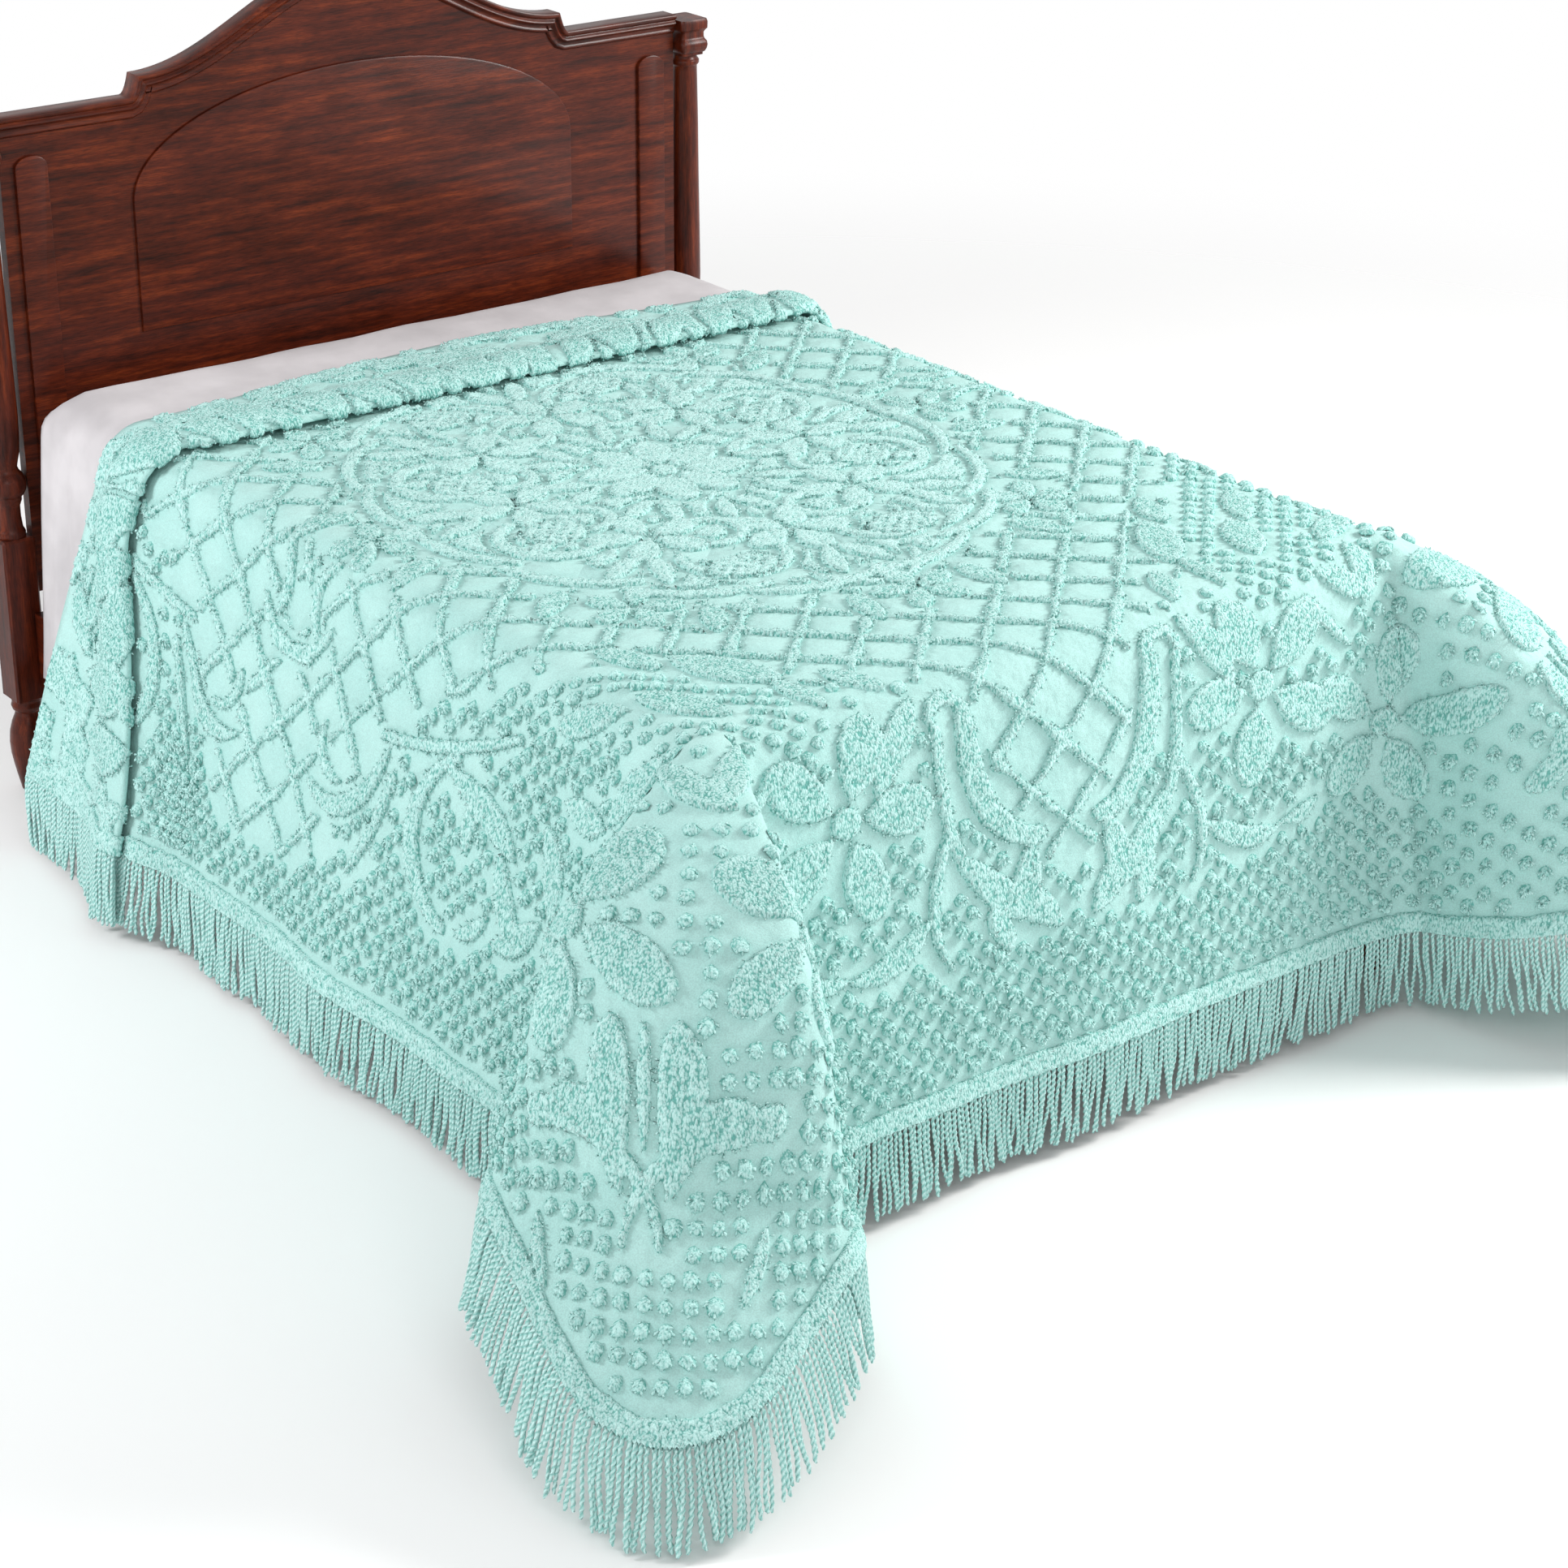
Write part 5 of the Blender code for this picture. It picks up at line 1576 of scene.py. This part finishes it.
def ring_path(half_x, half_y, corner, count=10):
    """A rounded rectangle as a closed row of points."""
    points = []
    for quarter, (sx, sy) in enumerate(((1, 1), (-1, 1), (-1, -1), (1, -1))):
        for t in np.linspace(0.0, 90.0, count):
            cosine, sine = cos_sin(90.0 * quarter + t)
            points.append((sx * (half_x - corner) + corner * cosine,
                           sy * (half_y - corner) + corner * sine))
    return points


def build_piping(piping, mat):
    """Cords of piping round a mattress, at the given shares of its height."""
    low, high = corners_of(piping.solid)
    centre = (low + high) / 2
    curve = bpy.data.curves.new(piping.name, "CURVE")
    curve.dimensions = "3D"
    curve.bevel_depth = piping.radius
    curve.bevel_resolution = 3
    for share in piping.heights:
        spline = curve.splines.new("POLY")
        path = ring_path(*((high - low)[:2] / 2 - piping.inset), piping.corner)
        spline.points.add(len(path) - 1)
        for point, (x, y) in zip(spline.points, path):
            point.co = (centre[0] + x, centre[1] + y, low[2] + share * (high - low)[2], 1.0)
        spline.use_cyclic_u = True
    curve.materials.append(mat)
    return put_in_scene(piping.name, curve)


# ---------------------------------------------------------------- headboard
# The crest's moulding from the top of the board: (how far down its face, how far the face
# stands out from the middle of the board), as shares of the crest's own sizes.
MOULDING = ((0.00, 0.80), (0.03, 0.95), (0.10, 1.00), (0.18, 0.99), (0.24, 0.92),
            (0.27, 0.80), (0.32, 0.76), (0.38, 0.80), (0.44, 0.90), (0.50, 0.92),
            (0.56, 0.86), (0.60, 0.74), (0.66, 0.66), (0.74, 0.62), (0.82, 0.64),
            (0.88, 0.70), (0.94, 0.70), (1.00, 0.62), (1.06, 0.50))
MOULDING_BACK = ((1.06, -0.45), (1.00, -1.00), (0.05, -1.00), (0.00, -0.90))
# Raised panels of the board: the middle and half width of each, where its arch springs
# and how high it rises, its foot, how far it is raised, its bevel, and points in its arch.
Panel = namedtuple("Panel", "middle half spring rise foot raised bevel count")
PANELS = (Panel(0.000, -0.455, 1.030, 0.185, 0.800, 0.0055, 0.004, 41),
          Panel(-0.640, -0.030, 1.120, 0.020, 0.400, 0.007, 0.003, 13),
          Panel(0.640, 0.030, 1.120, 0.020, 0.400, 0.007, 0.003, 13))
PANEL_SINK = 0.001             # a raised panel reaches this far into the board
# Turned pieces and the caps from below: (radius, height), and (height, size) as shares.
FOOT_PROFILE = ((0.022, 0.000), (0.023, 0.006), (0.026, 0.020), (0.031, 0.045),
                (0.035, 0.070), (0.036, 0.092), (0.034, 0.112), (0.029, 0.130),
                (0.023, 0.144), (0.022, 0.150), (0.026, 0.155), (0.028, 0.162),
                (0.026, 0.169), (0.027, 0.1745))
SHAFT_PROFILE = ((0.026, 0.4805), (0.026, 0.488), (0.022, 0.496), (0.020, 0.515),
                 (0.020, 0.535), (0.024, 0.546), (0.024, 0.552), (0.029, 0.557),
                 (0.033, 0.565), (0.034, 0.575), (0.033, 0.585), (0.029, 0.593),
                 (0.024, 0.598), (0.021, 0.606), (0.023, 0.616), (0.027, 0.632),
                 (0.029, 0.660), (0.030, 0.700), (0.029, 0.780), (0.027, 0.900),
                 (0.026, 1.000), (0.024, 1.100), (0.024, 1.108), (0.028, 1.113),
                 (0.028, 1.119), (0.024, 1.124), (0.024, 1.1295))
CAP_STEPS = ((0.00, 0.80), (0.06, 0.80), (0.10, 0.90), (0.18, 0.97), (0.28, 1.00),
             (0.38, 0.97), (0.44, 0.88), (0.50, 0.84), (0.62, 0.84), (0.68, 0.90),
             (0.74, 0.99), (0.92, 1.00), (1.00, 0.95))
CAP_CORNER = 0.006
LATHE_SIDES = 32
LATHE_STOPS = 60


def top_edge():
    """The headboard's top edge from its left end to its right end, with mitre directions."""
    end = POST_X - POST_RING - 0.0005
    arch = [(x, ARCH_FOOT_Z + (ARCH_TOP_Z - ARCH_FOOT_Z)
             * (1.0 + math.cos(math.pi * x / ARCH_HALF)) / 2.0)
            for x in np.linspace(0.0, ARCH_HALF, 33)]
    notch = [(ARCH_HALF + NOTCH * t, ARCH_FOOT_Z - (ARCH_FOOT_Z - SHOULDER_Z)
              * (1.0 - (1.0 - t) ** 2)) for t in (0.2, 0.4, 0.6, 0.8, 1.0)]
    half = arch + notch + [(0.5 * (ARCH_HALF + NOTCH + end), SHOULDER_Z), (end, SHOULDER_Z)]
    line = np.array([(-x, z) for x, z in half[:0:-1]] + half)
    runs = unit(np.diff(line, axis=0))
    normals = np.stack([runs[:, 1], -runs[:, 0]], axis=1)
    before = np.concatenate([normals[:1], normals])
    after = np.concatenate([normals, normals[-1:]])
    mitre = unit(before + after)
    mitre = mitre / np.maximum((mitre * after).sum(axis=1), 0.6)[:, None]
    return line, mitre


def build_crest(mat):
    """The moulded rail along the headboard's top, mitred at its notches."""
    line, mitre = top_edge()
    rows = []
    for down, out in MOULDING + MOULDING_BACK:
        x, z = (line + mitre * down * CREST_HEIGHT).T
        rows.append(np.stack([x, np.full(len(x), POST_Y - out * CREST_THICK / 2), z], axis=1))
    return capped_tube("headboard_moulding", np.stack(rows, axis=1) + ORIGIN, mat, 38.0)


def add_board(bm, outline, front, back, bevel=0.0):
    """Add a flat board between two depths to the headboard, with its front edge bevelled."""
    face = bm.faces.new([bm.verts.new((x, POST_Y + front, z)) for x, z in outline])
    grown = bmesh.ops.extrude_face_region(bm, geom=[face])
    moved = [part for part in grown["geom"] if isinstance(part, bmesh.types.BMVert)]
    bmesh.ops.translate(bm, verts=moved, vec=(0.0, back - front, 0.0))
    if bevel:
        bmesh.ops.bevel(bm, geom=face.edges[:], offset=bevel, segments=2, profile=0.5,
                        affect="EDGES")


def build_board(mat):
    """The headboard's panel, with its arched field and a raised stile at each side."""
    line, mitre = top_edge()
    top = line + mitre * (0.9 * CREST_HEIGHT)
    face = -PANEL_THICK / 2
    bm = bmesh.new()
    add_board(bm, [*top, (top[-1, 0], PANEL_BOTTOM), (top[0, 0], PANEL_BOTTOM)], face, -face)
    for panel in PANELS:
        outline = [(panel.middle + panel.half * math.cos(t),
                    panel.spring + panel.rise * math.sin(t))
                   for t in np.linspace(0.0, math.pi, panel.count)]
        outline += [(panel.middle - panel.half, panel.foot),
                    (panel.middle + panel.half, panel.foot)]
        add_board(bm, outline, face - panel.raised, face + PANEL_SINK, panel.bevel)
    mesh = bpy.data.meshes.new("headboard_board")
    finish_body(bm, mesh, 35.0)
    mesh.materials.append(mat)
    return put_in_scene("headboard_board", mesh, ORIGIN)


def turned(name, profile, mat):
    """A piece turned on a lathe from (radius, height) pairs, smoothed between them."""
    table = np.array(profile)
    marks = np.concatenate([[0.0], np.cumsum(np.hypot(*np.diff(table, axis=0).T))])
    stops = np.unique(np.concatenate([marks, np.linspace(0.0, marks[-1], LATHE_STOPS)]))
    radius, height = (np.interp(stops, marks, column)[:, None] for column in table.T)
    angle = np.linspace(0.0, 2 * math.pi, LATHE_SIDES, endpoint=False)
    rings = np.stack([radius * np.cos(angle), radius * np.sin(angle), height + 0.0 * angle],
                     axis=-1)
    return capped_tube(name, rings, mat, 50.0)


def stepped_cap(side, mat):
    """The square cap of a post, with a fillet, a swelling and a cove under its top."""
    low, high = corners_of(f"headboard_cap_{side}")
    half = (high - low) / 2
    rings = np.array([[(x, y, (2.0 * height - 1.0) * half[2])
                       for x, y in ring_path(half[0] * size, half[1] * size, CAP_CORNER, 4)]
                      for height, size in CAP_STEPS])
    obj = capped_tube(f"moulded_cap_{side}", rings, mat, 35.0)
    obj.location = (low + high) / 2
    return obj


def build_posts(mat):
    """Both posts, as pairs of a piece and the solid that it stands for."""
    made = []
    for side, sign in (("left", -1.0), ("right", 1.0)):
        for name, profile in (("foot", FOOT_PROFILE), ("post", SHAFT_PROFILE)):
            obj = turned(f"turned_{name}_{side}", profile, mat)
            obj.location = ORIGIN + np.array([sign * POST_X, POST_Y, 0.0])
            made.append((obj, f"headboard_{name}_{side}"))
        made.append((stepped_cap(side, mat), f"headboard_cap_{side}"))
    return made


# ---------------------------------------------------------------- put together
pile_mat = pile_material("chenille_pile", 1.0)
dot_mat = pile_material("chenille_dots", DOT_CONTRAST)
sheet_mat = cotton_material("sheet_cotton", *SHEET_COLOURS)
piping_mat = cotton_material("piping_cotton", *PIPING_COLOURS)
ticking_mat = ticking_material()
wood_across = wood_material("mahogany_across", "X")
wood_upright = wood_material("mahogany_upright", "Z")
wood_along = wood_material("mahogany_along", "Y")

spread = place(build_ground(ground_material()), "chenille", "bedspread")
pile_pieces, pile_grid = build_pile(pile_mat)
pile_pieces += build_dots(dot_mat, pile_grid)
fringe_pieces = build_fringe(fringe_material())
for piece in pile_pieces + fringe_pieces:
    place(piece, "chenille")
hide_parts("fringe")

sheet = place(build_sheet(sheet_mat), "cotton", "bed_sheet")
mattress_pad, base_pad = (place(padded_box(pad, ticking_mat), "ticking", pad.solid)
                          for pad in PADS)
for row in PIPINGS:
    place(build_piping(row, piping_mat), "ticking")

place(build_crest(wood_across), "mahogany", "headboard_crest")
place(build_board(wood_across), "mahogany", "headboard_panel", "headboard_bead")
for piece, replaced in build_posts(wood_upright):
    place(piece, "mahogany", replaced)
for name, cad_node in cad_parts.items():
    if cad_node.hide_render:
        continue
    grain = wood_upright
    if "rail" in name:
        grain = wood_along if "side" in name else wood_across
    if "slat" in name:
        grain = wood_across
    for material_slot in cad_node.material_slots:
        material_slot.material = grain


# ---------------------------------------------------------------- camera, light and room
CAMERA_AZIMUTH = -38.281
CAMERA_ELEVATION = 24.899
CAMERA_ROLL = 0.558
CAMERA_PLACE = (-3.062, -3.178, 2.558)
FOCAL_PIXELS = 4133.789
IMAGE_PIXELS = 1932
SENSOR = 36.0
FLOOR_FADE = (2.6, 5.0)
FLOOR_DROP = 0.0005
FLOOR_TINTS = (0.92, 0.95)
SKY_DIMS = (0.05, 0.45)        # between these heights of a direction the sky grows dimmer
HORIZON_LIGHT = 1.0
OVERHEAD_LIGHT = 0.50
Lamp = namedtuple("Lamp", "name place_at target size power colour")
LAMPS = (
    Lamp("key", (3.7, -2.0, 3.1), (0.0, 0.0, 0.6), (1.4, 1.4), 240.0, (1.0, 0.99, 0.97)),
    Lamp("side", (-3.9, 1.7, 3.1), (-0.3, 0.0, 0.5), (1.2, 1.2), 118.0, (0.99, 0.995, 1.0)),
    Lamp("front", (-2.4, -3.9, 3.4), (0.0, -0.3, 0.5), (2.6, 2.0), 50.0, (1.0, 1.0, 1.0)),
)


def build_camera():
    """The camera of the frame's picture, with its small tilt to one side."""
    data = bpy.data.cameras.new("camera")
    data.sensor_width = SENSOR
    data.lens = SENSOR * FOCAL_PIXELS / IMAGE_PIXELS
    camera = put_in_scene("camera", data, ORIGIN * (1, 1, 0) + np.array(CAMERA_PLACE))
    camera.rotation_euler = (math.radians(90.0 - CAMERA_ELEVATION), 0.0,
                             math.radians(CAMERA_AZIMUTH))
    bpy.context.view_layer.update()
    camera.rotation_euler.rotate_axis("Z", math.radians(CAMERA_ROLL))
    bpy.context.scene.camera = camera


def build_lamp(lamp):
    data = bpy.data.lights.new(lamp.name, "AREA")
    data.shape = "RECTANGLE"
    data.size, data.size_y = lamp.size
    data.energy = lamp.power
    data.color = lamp.colour
    light = put_in_scene(lamp.name, data, lamp.place_at)
    aim = Vector(lamp.target) - Vector(lamp.place_at)
    light.rotation_euler = aim.to_track_quat("-Z", "Y").to_euler()


def build_floor():
    """A pale floor that fades away into the white of the studio."""
    mat, tree, shader, coords = new_look("studio_floor", rough=0.9, specular=0.1)
    paint(tree, shader, blend_colours(tree, noise(tree, coords, scale=0.7),
                                      tuple(zip((0.3, 0.7), FLOOR_TINTS))))
    reach = vector_maths(tree, "LENGTH", coords, result="Value")
    fade = moved_range(tree, reach, FLOOR_FADE, (1.0, 0.0), interpolation_type="SMOOTHSTEP")
    tree.links.new(fade, shader.inputs["Alpha"])
    rows = FLOOR_FADE[1] * np.array([0.0, 0.4, 0.7, 1.0])
    angle = np.linspace(0.0, 2 * math.pi, 64, endpoint=False)
    points = np.array([(reach * math.cos(turn), reach * math.sin(turn), -FLOOR_DROP)
                       for reach in rows for turn in angle])
    mesh_piece("studio", points, grid_faces(len(rows), len(angle), wrap=True), mat)


def build_light():
    """White all round below and at eye level, dimmer overhead, and three soft lamps."""
    world = bpy.data.worlds.new("studio_world")
    world.use_nodes = True
    tree = world.node_tree
    background = tree.nodes["Background"]
    background.inputs["Color"].default_value = (1.0, 1.0, 1.0, 1.0)
    way = node(tree, "ShaderNodeTexCoord").outputs["Generated"]
    height = node(tree, "ShaderNodeSeparateXYZ", {0: way}).outputs["Z"]
    strength = moved_range(tree, height, SKY_DIMS, (HORIZON_LIGHT, OVERHEAD_LIGHT),
                           interpolation_type="SMOOTHSTEP")
    tree.links.new(strength, background.inputs["Strength"])
    bpy.context.scene.world = world
    bpy.context.scene.view_settings.view_transform = "Standard"
    for lamp in LAMPS:
        build_lamp(lamp)


build_camera()
build_floor()
build_light()
